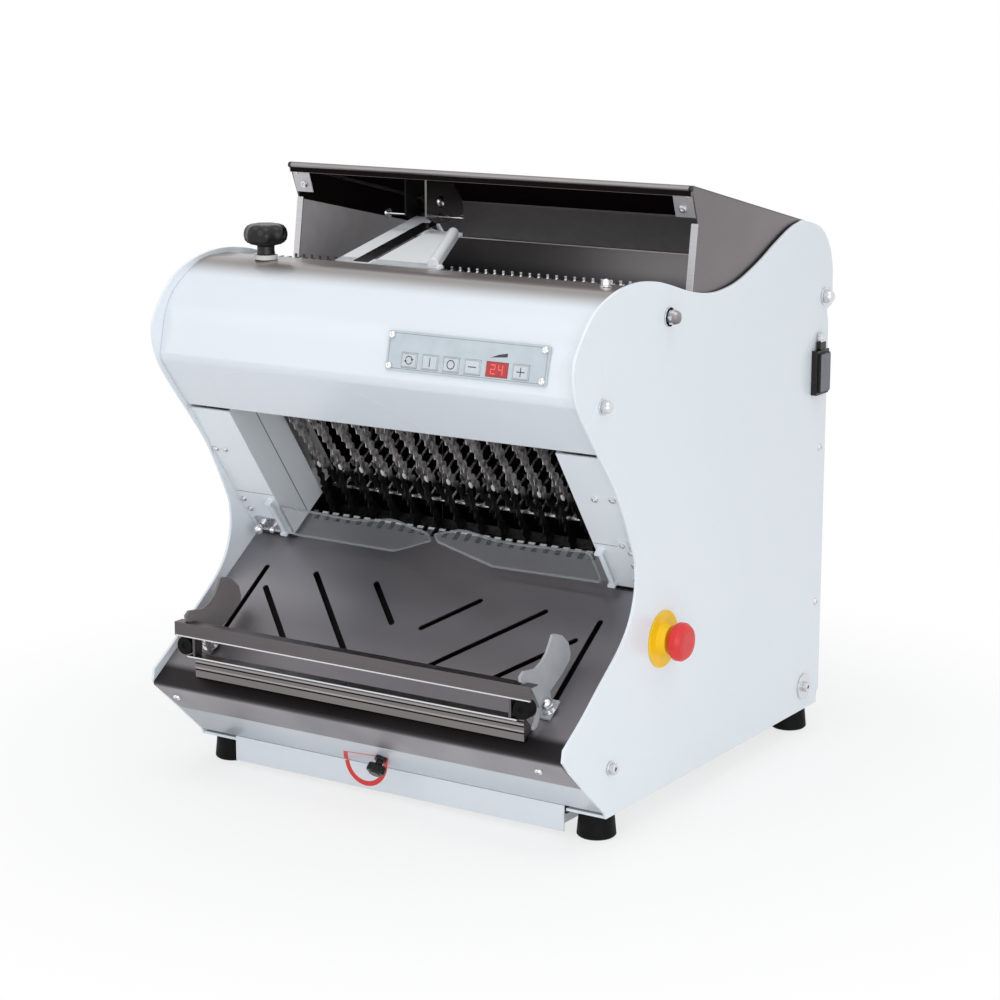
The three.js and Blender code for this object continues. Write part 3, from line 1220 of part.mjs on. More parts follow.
const pinFront = crankPinAt(wristFront, 1)
const pinRear = crankPinAt(wristRear, -1)

function crankshaft() {
  const shaftHalf = WEB_X + SHEET
  const webs = [-WEB_X - WEB_T, WEB_X].map((x) => rodX(x, x + WEB_T, crank, WEB_R, ROUND))
  const stub = (side, at) => {
    const [a, b] = [side * (WEB_X + WEB_T - SHEET), side * (ROD_X - ROD_THICK / 2 - GAP)].sort((m, n) => m - n)
    return rodX(a, b, at, CRANK_PIN_R)
  }
  const shaft = rodX(-shaftHalf, shaftHalf, crank, CRANK_R, ROUND)
  return join([shaft, ...webs, stub(-1, pinFront), stub(1, pinRear)])
}

add('crankshaft', crankshaft(), bright)
add('driven_pulley', ringX(-PULLEY_T / 2, PULLEY_T / 2, crank, DRIVEN_R, CRANK_R + GAP), dark)
add('motor_pulley', ringX(-PULLEY_T / 2, PULLEY_T / 2, motorAxis, MOTOR_PULLEY_R, MOTOR_SHAFT_R + GAP), dark)

function beltLoop() {
  const between = motorAxis.clone().sub(crank)
  const heading = Math.atan2(between.y, between.x)
  const open = Math.acos((DRIVEN_R - MOTOR_PULLEY_R) / between.length())
  const loop = (grow, Kind) => {
    const shape = new Kind()
    shape.absarc(crank.x, crank.y, DRIVEN_R + grow, heading + open, heading - open + Math.PI * 2, false)
    shape.absarc(motorAxis.x, motorAxis.y, MOTOR_PULLEY_R + grow, heading - open, heading + open, false)
    shape.closePath()
    return shape
  }
  const shape = loop(GAP + BELT_T, THREE.Shape)
  shape.holes.push(loop(GAP, THREE.Path))
  return acrossX(shape, -PULLEY_T / 2 + SHEET, PULLEY_T / 2 - SHEET, 10)
}

add('drive_belt', beltLoop(), rubber)

function driveStand() {
  const low = baseTop + GAP
  const half = STAND_DEPTH / 2
  const plate = boxAt(-STAND_HALF, STAND_HALF, crank.x - half, crank.x + half, low, low + STAND_T)
  const pieces = [plate]
  for (const side of [-1, 1]) {
    const [a, b] = [side * BEARING_X - BEARING_T / 2, side * BEARING_X + BEARING_T / 2]
    pieces.push(boxAt(a, b, crank.x - BEARING_FOOT / 2, crank.x + BEARING_FOOT / 2, low + STAND_T / 2, CRANK_Z))
    pieces.push(rodX(a, b, crank, BEARING_R, ROUND))
  }
  return cut(join(pieces), [rodX(-STAND_HALF, STAND_HALF, crank, CRANK_R + RUN, ROUND)])
}

add('drive_stand', driveStand(), dark)

function motor() {
  const end = MOTOR_X + MOTOR_LENGTH
  const body = turned([
    [0, MOTOR_X], [MOTOR_R * motorNoseShares.face, MOTOR_X],
    [MOTOR_R, MOTOR_X + MOTOR_R * motorNoseShares.slope],
    [MOTOR_R, end - MOTOR_R * motorTailShares.slope], [MOTOR_R * motorTailShares.face, end], [0, end],
  ], new THREE.Vector3(0, motorAxis.x, MOTOR_Z), new THREE.Vector3(1, 0, 0))
  const low = baseTop + GAP
  const [x0, x1, y] = [MOTOR_X + MOTOR_R / 2, end - MOTOR_R / 2, motorAxis.x]
  const footPlate = boxAt(x0, x1, y - MOTOR_FOOT_HALF, y + MOTOR_FOOT_HALF, low, low + MOTOR_FOOT_T)
  const pedestal = boxAt(x0, x1, y - PEDESTAL_HALF, y + PEDESTAL_HALF, low + MOTOR_FOOT_T / 2, MOTOR_Z)
  const bore = rodX(MOTOR_X - OVERRUN, MOTOR_X + MOTOR_BORE_DEPTH, motorAxis, MOTOR_SHAFT_R + RUN)
  return cut(join([body, footPlate, pedestal]), [bore])
}

add('motor', motor(), dark)
const shaftEnd = MOTOR_X + MOTOR_BORE_DEPTH - OVERRUN
add('motor_shaft', rodX(-PULLEY_T / 2 - SHEET, shaftEnd, motorAxis, MOTOR_SHAFT_R), bright)

// connecting rods: an eye on the frame's wrist pin, and an eye in line with the crank pin
const EYE_R = 10
const SHANK_HALF = 6

function connectingRod(x, wrist, pin) {
  const axis = pin.clone().sub(wrist)
  const side = point(-axis.y, axis.x).setLength(SHANK_HALF)
  const shank = polygon([wrist.clone().add(side), wrist.clone().sub(side),
    pin.clone().sub(side), pin.clone().add(side)])
  const [x0, x1] = [x - ROD_THICK / 2, x + ROD_THICK / 2]
  const bore = (place, radius) => rodX(x0 - OVERRUN, x1 + OVERRUN, place, radius + RUN)
  const eyes = [rodX(x0, x1, wrist, EYE_R, ROUND), rodX(x0, x1, pin, EYE_R + SHEET, ROUND)]
  return cut(join([acrossX(shank, x0, x1), ...eyes]), [bore(wrist, WRIST_R), bore(pin, CRANK_PIN_R)])
}

add('front_connecting_rod', connectingRod(-ROD_X, wristFront, pinFront), dark)
add('rear_connecting_rod', connectingRod(ROD_X, wristRear, pinRear), dark)

// emergency stop on the right panel: a body through the sheet, and a mushroom head that pushes in
const ESTOP_LABEL_R = 30
const ESTOP_LABEL_T = 1.5
const ESTOP_COLLAR_R = 17
const ESTOP_COLLAR_H = 9
const ESTOP_NUT_R = 15
const ESTOP_BEHIND = 34
const ESTOP_TRAVEL = 5
const ESTOP_STEM_R = 7
const ESTOP_HEAD_R = 20
const ESTOP_HEAD_H = 14
const estopRadiusShares = { rim: 0.9, shoulder: 0.82, top: 0.6 }
const estopHeightShares = { rim: 0.2, shoulder: 0.6 }

function estopBody() {
  const out = inner + PANEL_SHEET + GAP
  const top = out + ESTOP_LABEL_T + ESTOP_COLLAR_H
  const bore = ESTOP_STEM_R + RUN
  return turned([
    [0, inner - ESTOP_BEHIND], [ESTOP_NUT_R, inner - ESTOP_BEHIND], [ESTOP_NUT_R, inner - GAP],
    [ESTOP_SHANK_R, inner - GAP], [ESTOP_SHANK_R, out], [ESTOP_LABEL_R, out],
    [ESTOP_LABEL_R, out + ESTOP_LABEL_T], [ESTOP_COLLAR_R, out + ESTOP_LABEL_T],
    [ESTOP_COLLAR_R, top], [bore, top], [bore, inner], [0, inner],
  ], new THREE.Vector3(0, estop.x, estop.y), new THREE.Vector3(1, 0, 0))
}

function estopButton() {
  const top = inner + PANEL_SHEET + GAP + ESTOP_LABEL_T + ESTOP_COLLAR_H
  const rim = top + GAP + ESTOP_TRAVEL
  const end = rim + ESTOP_HEAD_H
  return turned([
    [0, inner + ESTOP_TRAVEL + GAP], [ESTOP_STEM_R, inner + ESTOP_TRAVEL + GAP], [ESTOP_STEM_R, rim],
    [ESTOP_HEAD_R * estopRadiusShares.rim, rim], [ESTOP_HEAD_R, rim + ESTOP_HEAD_H * estopHeightShares.rim],
    [ESTOP_HEAD_R, rim + ESTOP_HEAD_H * estopHeightShares.shoulder],
    [ESTOP_HEAD_R * estopRadiusShares.shoulder, end - SHEET / 2],
    [ESTOP_HEAD_R * estopRadiusShares.top, end], [0, end],
  ], new THREE.Vector3(0, estop.x, estop.y), new THREE.Vector3(1, 0, 0))
}

add('estop_body', estopBody(), yellow)
add('estop_button', estopButton(), red)

// switch box at the back edge of the right panel
const SWITCH_INSET = 20
const SWITCH_LENGTH = 30
const SWITCH_DROP = 58 // below the hood's pivot
const SWITCH_HEIGHT = 50
const SWITCH_DEPTH = 10
const SWITCH_BEVEL = 3

function switchBox() {
  const out = inner + PANEL_SHEET + GAP
  const rear = panelRear - SWITCH_INSET
  const front = rear - SWITCH_LENGTH
  const high = hoodPivot.y - SWITCH_DROP
  const low = high - SWITCH_HEIGHT
  const body = boxAt(out, out + SWITCH_DEPTH - SWITCH_BEVEL, front, rear, low, high)
  const cap = boxAt(out + SHEET, out + SWITCH_DEPTH, front + SWITCH_BEVEL, rear - SWITCH_BEVEL,
    low + SWITCH_BEVEL, high - SWITCH_BEVEL)
  return join([body, cap])
}

add('switch_box', switchBox(), black)

// the origin lies under the middle of the machine's overall box
const rightReach = inner + PANEL_SHEET + GAP * 2 + ESTOP_LABEL_T + ESTOP_COLLAR_H + ESTOP_TRAVEL + ESTOP_HEAD_H
const leftReach = inner + PANEL_SHEET + GAP + DOME_H
group.position.set((leftReach - rightReach) / 2, -(upperRailY + panelRear) / 2, 0)
group.updateMatrixWorld(true)

export default group
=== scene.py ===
import json
import math

import bmesh
import bpy
import numpy as np
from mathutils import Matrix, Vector


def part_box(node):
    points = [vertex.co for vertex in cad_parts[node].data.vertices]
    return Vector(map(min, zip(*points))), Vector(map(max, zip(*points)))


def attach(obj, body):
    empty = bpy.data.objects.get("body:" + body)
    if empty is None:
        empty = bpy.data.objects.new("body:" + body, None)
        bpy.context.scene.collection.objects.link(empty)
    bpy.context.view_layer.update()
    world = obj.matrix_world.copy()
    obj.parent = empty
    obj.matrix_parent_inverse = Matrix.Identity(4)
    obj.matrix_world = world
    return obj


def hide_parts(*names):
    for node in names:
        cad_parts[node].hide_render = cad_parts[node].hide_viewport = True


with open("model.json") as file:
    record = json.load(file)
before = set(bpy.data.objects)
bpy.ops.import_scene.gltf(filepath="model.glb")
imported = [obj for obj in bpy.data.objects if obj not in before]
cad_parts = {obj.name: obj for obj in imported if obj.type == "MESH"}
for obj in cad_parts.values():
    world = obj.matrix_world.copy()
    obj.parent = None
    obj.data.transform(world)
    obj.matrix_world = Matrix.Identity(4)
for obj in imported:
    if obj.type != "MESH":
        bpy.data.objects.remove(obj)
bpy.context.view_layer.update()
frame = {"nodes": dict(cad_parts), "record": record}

MM = 0.001
nodes = frame["nodes"]

# The drawing's own coordinates are millimetres: x from the machine's mid plane to the operator's
# right, y back from a line just behind the panels' toes, z up from the bench.
PANEL_TOE = -16
PANEL_SHEET = 3
cowl_low, cowl_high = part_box("front_cowl")
MID_X = (cowl_low.x + cowl_high.x) / 2
ZERO_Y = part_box("right_side_panel")[0].y - PANEL_TOE * MM
LEAN = math.radians(35)
THROAT_Y = 58
THROAT_Z = 398
TRAY_S = 194
TRAY_LENGTH = 272
COMB_B = 43
THROAT_HALF = 204
INNER = 257
GAP = 0.3


def at(x, y, z):
    return Vector((MID_X + x * MM, ZERO_Y + y * MM, z * MM))


def tilt(s, b):
    """A place in the leaning frame, as y and z: s down the throat plane, b square to it."""
    return (THROAT_Y + s * math.sin(LEAN) + b * math.cos(LEAN),
            THROAT_Z - s * math.cos(LEAN) + b * math.sin(LEAN))


def leaning(x, s, b):
    return at(x, *tilt(s, b))


def on_tray(x, u, h):
    """A place on the tray: u up the slope from its lip, h above its face."""
    return leaning(x, TRAY_S - h, u - TRAY_LENGTH + COMB_B)


def facing(y, way=-1):
    """Places a drawing in x and z, with its depth running forwards from y, or back where way is 1."""
    return lambda u, v, n: at(u, y + way * n, v)


def on_throat(b):
    """Places a drawing on the throat plane, with its depth running out of the machine from b."""
    return lambda u, v, n: leaning(u, v, b - n)


def over_tray(h, way=1):
    """Places a drawing along the tray, with its depth running up from h, or down where way is -1."""
    return lambda u, v, n: on_tray(u, v, h + way * n)


def across(x0):
    """Places a drawing in y and z, with its depth along x from x0."""
    return lambda u, v, n: at(x0 + n, u, v)


DOWN_THROAT = Vector((0, math.sin(LEAN), -math.cos(LEAN)))
INTO_THROAT = Vector((0, math.cos(LEAN), math.sin(LEAN)))
RIGHT = Vector((1, 0, 0))
UP = Vector((0, 0, 1))
SIDES = (("right", 1), ("left", -1))


# Camera: fitted to the outlines of the two side panels.
CAMERA_PLACE = (1488.8, -2028.6, 898.0)
CAMERA_AZIMUTH = math.radians(32.89)
CAMERA_DIP = math.radians(12.58)
SENSOR = 36.0
FOCAL_SHARE = 2.5512
CLIP_END = 50


def make_camera():
    data = bpy.data.cameras.new("camera")
    data.sensor_fit = "HORIZONTAL"
    data.sensor_width = SENSOR
    data.lens = SENSOR * FOCAL_SHARE
    data.clip_end = CLIP_END
    camera = bpy.data.objects.new("camera", data)
    camera.location = at(*CAMERA_PLACE)
    camera.rotation_euler = (math.pi / 2 - CAMERA_DIP, 0, CAMERA_AZIMUTH)
    bpy.context.scene.collection.objects.link(camera)
    bpy.context.scene.camera = camera


make_camera()


# Materials
def srgb(r, g, b):
    def linear(c):
        c /= 255
        return c / 12.92 if c <= 0.04045 else ((c + 0.055) / 1.055) ** 2.4
    return (linear(r), linear(g), linear(b), 1)


NOISE_LOW = 0.3
NOISE_HIGH = 0.7
CLOUD_SCALE = 7


class Nodes:
    """A node tree, with short ways to add, link and combine its nodes."""

    def __init__(self, tree):
        self.tree = tree

    def node(self, kind, **settings):
        """Adds a node. A setting named like a socket, with _ for a space, fills that socket."""
        made = self.tree.nodes.new("ShaderNode" + kind)
        for key, value in settings.items():
            socket = key.replace("_", " ")
            if socket in made.inputs:
                made.inputs[socket].default_value = value
            else:
                setattr(made, key, value)
        return made

    def link(self, out, into):
        self.tree.links.new(out, into)

    def combined(self, operation, a, b):
        made = self.node("Math", operation=operation)
        self.link(a, made.inputs[0])
        self.link(b, made.inputs[1])
        return made.outputs["Value"]

    def mapped(self, value, start, finish, low, high, **settings):
        """Turns the range from start to finish into the range from low to high."""
        made = self.node("MapRange", From_Min=start, From_Max=finish, To_Min=low, To_Max=high, **settings)
        self.link(value, made.inputs["Value"])
        return made.outputs["Result"]

    def mixed(self, share, near, far):
        made = self.node("MixShader")
        self.link(share, made.inputs["Fac"])
        self.link(near, made.inputs[1])
        self.link(far, made.inputs[2])
        return made.outputs["Shader"]


class Finish(Nodes):
    """A principled material with a few helpers for procedural detail in object coordinates."""

    def __init__(self, name, color, roughness, metallic=0.0, **sockets):
        self.material = bpy.data.materials.new(name)
        self.material.use_nodes = True
        super().__init__(self.material.node_tree)
        self.shader = self.tree.nodes["Principled BSDF"]
        self.color = color
        sockets.update(Base_Color=color, Roughness=roughness, Metallic=metallic)
        for socket, value in sockets.items():
            self.shader.inputs[socket.replace("_", " ")].default_value = value

    def noise(self, scale, detail=3.0, stretch=(1, 1, 1)):
        """Soft noise round 0.5, which may be squeezed along some axes."""
        where = self.node("TexCoord")
        mapping = self.node("Mapping", Scale=stretch)
        made = self.node("TexNoise", Scale=scale, Detail=detail)
        self.link(where.outputs["Object"], mapping.inputs["Vector"])
        self.link(mapping.outputs["Vector"], made.inputs["Vector"])
        return made.outputs["Fac"]

    def ramp(self, value, low, high):
        """Turns the noise's usual range into the range from low to high."""
        return self.mapped(value, NOISE_LOW, NOISE_HIGH, low, high)

    def over_color(self, made, socket):
        """Sets a node between the colour so far and the shader."""
        color = self.shader.inputs["Base Color"]
        if color.is_linked:
            self.link(color.links[0].from_socket, made.inputs[socket])
        self.link(made.outputs["Color"], color)

    def tint(self, factor):
        """Multiplies the colour's brightness by a factor."""
        made = self.node("HueSaturation", Color=self.color)
        self.link(factor, made.inputs["Value"])
        self.over_color(made, "Color")

    def vary_color(self, value, amount):
        """Makes the colour darker and lighter by an amount, following the noise."""
        self.tint(self.ramp(value, 1 - amount, 1 + amount))

    def fade(self, axis, start, finish, other):
        """Turns the colour into another between two places along an axis, both in metres."""
        parts = self.node("SeparateXYZ")
        self.link(self.node("TexCoord").outputs["Object"], parts.inputs["Vector"])
        share = self.mapped(parts.outputs[axis], start, finish, 0, 1, interpolation_type="SMOOTHSTEP")
        mix = self.node("MixRGB", Color1=self.color, Color2=other)
        self.link(share, mix.inputs["Fac"])
        self.over_color(mix, "Color1")

    def vary_roughness(self, value, low, high):
        self.link(self.ramp(value, low, high), self.shader.inputs["Roughness"])

    def bump(self, value, distance, strength):
        made = self.node("Bump", Strength=strength, Distance=distance)
        self.link(value, made.inputs["Height"])
        self.link(made.outputs["Normal"], self.shader.inputs["Normal"])


def painted(name, color, roughness=0.3, fades=()):
    finish = Finish(name, color, roughness, Coat_Weight=0.35, Coat_Roughness=0.12)
    finish.vary_color(finish.noise(4, 0), 0.01)
    for fade in fades:
        finish.fade(*fade)
    finish.vary_roughness(finish.noise(3, 0), roughness - 0.03, roughness + 0.03)
    return finish.material


def brushed(name, color, roughness, along, amount=0.07, cloud=0.12, fades=()):
    """Stainless sheet, brushed along one axis: "x", "y" or "z", with a soft clouding over it."""
    finish = Finish(name, color, roughness, 1.0)
    lines = finish.noise(22, 4, [1.0 if axis == along else 60.0 for axis in "xyz"])
    clouds = finish.noise(CLOUD_SCALE, 2, [0.35 if axis == along else 1.0 for axis in "xyz"])
    finish.tint(finish.combined("MULTIPLY", finish.ramp(lines, 1 - amount, 1 + amount),
                                finish.ramp(clouds, 1 - cloud, 1 + cloud)))
    for fade in fades:
        finish.fade(*fade)
    finish.vary_roughness(finish.noise(5, 2), roughness - 0.05, roughness + 0.08)
    finish.bump(lines, 0.00002, 0.35)
    return finish.material


def polished(name, color, roughness=0.16, fades=(), metallic=1.0, mottle=None):
    finish = Finish(name, color, roughness, metallic)
    for fade in fades:
        finish.fade(*fade)
    # mottle darkens and lightens the colour in strong patches: painted reflections on the blades
    if mottle:
        finish.tint(finish.ramp(finish.noise(150, 2), *mottle))
    finish.vary_roughness(finish.noise(120, 3), roughness - 0.05, roughness + 0.08)
    finish.bump(finish.noise(300, 2), 0.00003, 0.3)
    return finish.material


def moulded(name, color, roughness, grain=1500, depth=0.00006, gloss=0.5):
    finish = Finish(name, color, roughness, Specular_IOR_Level=gloss)
    finish.vary_color(finish.noise(60, 3), 0.05)
    finish.vary_roughness(finish.noise(90, 3), roughness - 0.05, roughness + 0.08)
    finish.bump(finish.noise(grain, 3), depth, 0.5)
    return finish.material


def clear(name, color, alpha, roughness=0.06):
    """Thin clear sheet: mostly see-through, with a gloss on its faces."""
    finish = Finish(name, color, roughness, Alpha=alpha, IOR=1.49)
    finish.vary_roughness(finish.noise(70, 3), roughness - 0.03, roughness + 0.05)
    return finish.material


def lit(name, color, strength):
    finish = Finish(name, color, 0.3, Emission_Color=color, Emission_Strength=strength)
    finish.vary_roughness(finish.noise(400, 2), 0.25, 0.4)
    return finish.material


# Where a colour turns into another, in metres: the edges of painted shade, painted light and a painted
# reflection
COWL_BROW = (ZERO_Y + 0.054, ZERO_Y + 0.082)
PANEL_LEFT = (-0.26, -0.1)
FASCIA_TOP = (0.104, 0.109)
TRAY_FOOT = (0.121, 0.127)
TRAY_MIDDLE = (0.17, 0.2)
WELL_BRIM = (0.5, 0.535)
BLADE_FOOT = (0.312, 0.326)
FILM_GRAIN = (2500, 0.00002)
SMOOTH_GRAIN = (1500, 0.00006)

looks = {
    painted: {
        "white_paint": ((238, 244, 249),),
        # cowl paint with a painted reflection of the hood: grey-brown over the cowl's top behind its brow
        "cowl_paint": ((229, 235, 241), 0.3, [("Y", *COWL_BROW, srgb(128, 120, 117))]),
        # white paint with painted shade on the sloped lower front panel, which faces down: darker all over,
        # darkest at its left end
        "front_paint": ((163, 170, 178), 0.3, [("X", *PANEL_LEFT, srgb(212, 218, 225))]),
        # white paint made lighter than its own colour: painted light on the presser, which sits in the hood's
        # shade
        "presser_paint": ((250, 252, 254),),
    },
    brushed: {
        "brushed_steel": ((128, 124, 123), 0.26, "x"),
        # brushed tray steel with painted shade: a dark band just above the fascia and a mid grey up to the
        # tray's middle; its own colour on the fascia and higher up
        "tray_steel": ((150, 147, 151), 0.42, "y", 0.06, 0.3,
                       [("Z", *FASCIA_TOP, srgb(50, 47, 49)), ("Z", *TRAY_FOOT, srgb(126, 123, 126)),
                        ("Z", *TRAY_MIDDLE, srgb(150, 147, 151))]),
        "rail_steel": ((104, 100, 101), 0.34, "x"),
        "hood_steel": ((128, 123, 125), 0.3, "x"),
        # light steel for the painted highlights on the lower rail's folds
        "roll_steel": ((172, 168, 170), 0.4, "x"),
        "rod_steel": ((150, 146, 148), 0.4, "x"),
        # near-black painted shade down the infeed well; light steel only near its brim
        "well_steel": ((22, 21, 22), 0.4, "x", 0.05, 0.15, [("Z", *WELL_BRIM, srgb(176, 172, 174))]),
        "gusset_steel": ((196, 195, 198), 0.5, "x"),
    },
    polished: {
        # blade steel with painted shade below the blades' crossing row and painted light above it, and strong
        # mottling that stands for painted reflections
        "blade_steel": ((60, 58, 58), 0.36, [("Z", *BLADE_FOOT, srgb(236, 231, 232))], 0.6, (0.22, 1.15)),
        # bright steel; also the painted highlights along the rails' edges
        "bright_steel": ((218, 219, 222), 0.24),
    },
    moulded: {
        # near-black painted shade under the hood: its underside, its lip and a band below its top
        "inner_steel": ((30, 24, 24), 0.6, *SMOOTH_GRAIN, 0.0),
        # painted light on the inner faces of the hood's sides
        "side_steel": ((226, 221, 223), 0.4),
        # mid grey painted shade: under the hood's rear end, and on the left stop arm, a darker copy of the
        # right arm's matt steel
        "rear_steel": ((132, 127, 128), 0.5, *SMOOTH_GRAIN, 0.2),
        # near-black painted shade: the blade frames, the left bracket cheek, the lines beside the lower
        # rail's folds and the dark sheets inside the body
        "shade_steel": ((12, 11, 12), 0.6, *SMOOTH_GRAIN, 0.2),
        "matt_steel": ((172, 174, 178), 0.55),
        # dark steel; on the left-hand finger tips it is painted shade
        "dark_steel": ((62, 61, 62), 0.45),
        "black_rubber": ((7, 6, 7), 0.6, 700, 0.0001, 0.15),
        "black_plastic": ((14, 12, 13), 0.3, *SMOOTH_GRAIN, 0.4),
        # pale nylon; its colour also serves as a painted glint on the comb's teeth and the front blade tips
        "pale_nylon": ((222, 222, 218), 0.5),
        "red_plastic": ((226, 46, 48), 0.35),
        "yellow_plastic": ((250, 206, 22), 0.4),
        "switch_grey": ((112, 112, 119), 0.4),
        "control_film": ((196, 205, 212), 0.4, *FILM_GRAIN),
        "key_film": ((206, 214, 219), 0.45, *FILM_GRAIN),
        "key_edge": ((128, 136, 142), 0.5, *FILM_GRAIN),
        "ink": ((58, 60, 66), 0.5, *FILM_GRAIN),
        "red_print": ((232, 62, 60), 0.5, *FILM_GRAIN),
        "red_window": ((176, 24, 28), 0.12, 400, 0.00001),
        # a dark joint line; on the guides' folds the same colour is painted shade
        "seam": ((104, 110, 118), 0.6, 400, 0.00001),
    },
    clear: {
        "clear_plastic": ((222, 230, 234), 0.07),
        "clear_edge": ((176, 182, 186), 0.5, 0.15),
    },
    lit: {
        "red_segment": ((238, 84, 78), 0.5),
    },
}
MATERIALS = {name: make(name, srgb(*values[0]), *values[1:])
             for make, table in looks.items() for name, values in table.items()}
SLOT_OF = {entry["node"]: entry["material_slot"] for entry in frame["record"]["subparts"]}
BODY_OF = {n: body for body, members in frame["record"]["behaviour"]["bodies"].items() for n in members}


# Mesh helpers
def shade(mesh, angle=32):
    """Smooth faces, with an edge kept sharp where it turns by more than the angle."""
    bm = bmesh.new()
    bm.from_mesh(mesh)
    limit = math.radians(angle)
    for face in bm.faces:
        face.smooth = True
    for edge in bm.edges:
        edge.smooth = len(edge.link_faces) == 2 and edge.calc_face_angle(0) < limit
    bm.to_mesh(mesh)
    bm.free()


def add_object(name, mesh):
    piece = bpy.data.objects.new(name, mesh)
    bpy.context.scene.collection.objects.link(piece)
    return piece


def built(name, bm, smooth=None):
    """A piece from a mesh in the making; smooth is the angle up to which its faces are shaded as one."""
    mesh = bpy.data.meshes.new(name)
    bm.to_mesh(mesh)
    bm.free()
    if smooth:
        shade(mesh, smooth)
    return add_object(name, mesh)


def bake(piece):
    """Applies a piece's modifiers."""
    bpy.context.view_layer.update()
    graph = bpy.context.evaluated_depsgraph_get()
    mesh = bpy.data.meshes.new_from_object(piece.evaluated_get(graph))
    piece.modifiers.clear()
    piece.data = mesh


shown = set()


def settle(piece, body, slot, replaced=(), look=None):
    """Gives a piece its look (the slot's material where no look is given), sets it on its body and hides the
    CAD nodes that it stands for.
    """
    shown.update(replaced)
    normals = piece.modifiers.new("normals", "WEIGHTED_NORMAL")
    normals.keep_sharp = True
    bake(piece)
    piece.data.materials.clear()
    piece.data.materials.append(MATERIALS[look or slot])
    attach(piece, body)
    if replaced:
        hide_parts(*replaced)
    return piece


EDGE = 0.4
EDGE_FROM = 30
FLAT_WITHIN = 0.6


def dressed(node, look=None):
    """A CAD node's own shape, cleaned, with its edges rounded and its curves shaded smooth."""
    bm = bmesh.new()
    bm.from_mesh(nodes[node].data)
    bmesh.ops.remove_doubles(bm, verts=bm.verts, dist=1e-6)
    bmesh.ops.dissolve_limit(bm, angle_limit=math.radians(FLAT_WITHIN), verts=bm.verts, edges=bm.edges)
    piece = built(node + "_shape", bm)
    bevel = piece.modifiers.new("bevel", "BEVEL")
    bevel.width = EDGE * MM
    bevel.segments = 2
    bevel.limit_method = "ANGLE"
    bevel.angle_limit = math.radians(EDGE_FROM)
    bevel.use_clamp_overlap = True
    bake(piece)
    shade(piece.data)
    return settle(piece, BODY_OF[node], SLOT_OF[node], (node,), look)


# Shapes in the drawing's own millimetres
def curve_through(points, steps):
    """The smooth curve that the side panels' outline follows, through every point."""
    out = []
    last = len(points) - 1
    for i in range(last):
        p0, p1, p2, p3 = (np.array(points[min(max(i + k, 0), last)], float) for k in (-1, 0, 1, 2))
        for j in range(steps):
            t = j / steps
            out.append(tuple(p1 + 0.5 * t * (p2 - p0 + t * (2 * p0 - 5 * p1 + 4 * p2 - p3
                                                           + t * (3 * p1 - p0 - 3 * p2 + p3)))))
    return out + [tuple(points[-1])]


def rounded(corners, steps=10):
    """Corners as (place, bend): the bend's curve leaves each straight at radius / tan(half angle)."""
    out = []
    for i, (place, radius) in enumerate(corners):
        here = np.array(place, float)
        if i in (0, len(corners) - 1) or not radius:
            out.append(tuple(here))
            continue
        before = np.array(corners[i - 1][0], float) - here
        after = np.array(corners[i + 1][0], float) - here
        a, b = np.linalg.norm(before), np.linalg.norm(after)
        half = math.acos(max(-1, min(1, before.dot(after) / a / b))) / 2
        reach = min(radius / math.tan(half), a * 0.49, b * 0.49)
        start, finish = here + before / a * reach, here + after / b * reach
        for j in range(steps + 1):
            t = j / steps
            out.append(tuple((1 - t) ** 2 * start + 2 * t * (1 - t) * here + t * t * finish))
    return out


def beside(path, distance, closed=False):
    """The path moved to its left."""
    out = []
    last = len(path) - 1
    for i, place in enumerate(path):
        p = np.array(place)
        before = path[i - 1] if i or closed else None
        after = path[(i + 1) % (last + 1)] if i < last or closed else None
        first = p - np.array(before) if before else np.array(after) - p
        second = np.array(after) - p if after else first
        first, second = first / np.linalg.norm(first), second / np.linalg.norm(second)
        normal = np.array([-first[1] - second[1], first[0] + second[0]])
        normal /= np.linalg.norm(normal)
        out.append(tuple(p + normal * distance / normal.dot([-first[1], first[0]])))
    return out


def inset(outline, distance):
    """A closed outline moved inwards."""
    area = sum(a[0] * b[1] - b[0] * a[1] for a, b in zip(outline, outline[1:] + outline[:1]))
    return beside(outline, math.copysign(distance, area), True)


def circle(u, v, radius, steps=32):
    return [(u + radius * math.cos(2 * math.pi * i / steps), v + radius * math.sin(2 * math.pi * i / steps))
            for i in range(steps)]


def box_outline(x0, v0, x1, v1, radius=0.0):
    if not radius:
        return [(x0, v0), (x1, v0), (x1, v1), (x0, v1)]
    out = []
    for cx, cv, turn in ((x1 - radius, v0 + radius, -90), (x1 - radius, v1 - radius, 0),
                         (x0 + radius, v1 - radius, 90), (x0 + radius, v0 + radius, 180)):
        for i in range(5):
            angle = math.radians(turn + 22.5 * i)
            out.append((cx + radius * math.cos(angle), cv + radius * math.sin(angle)))
    return out


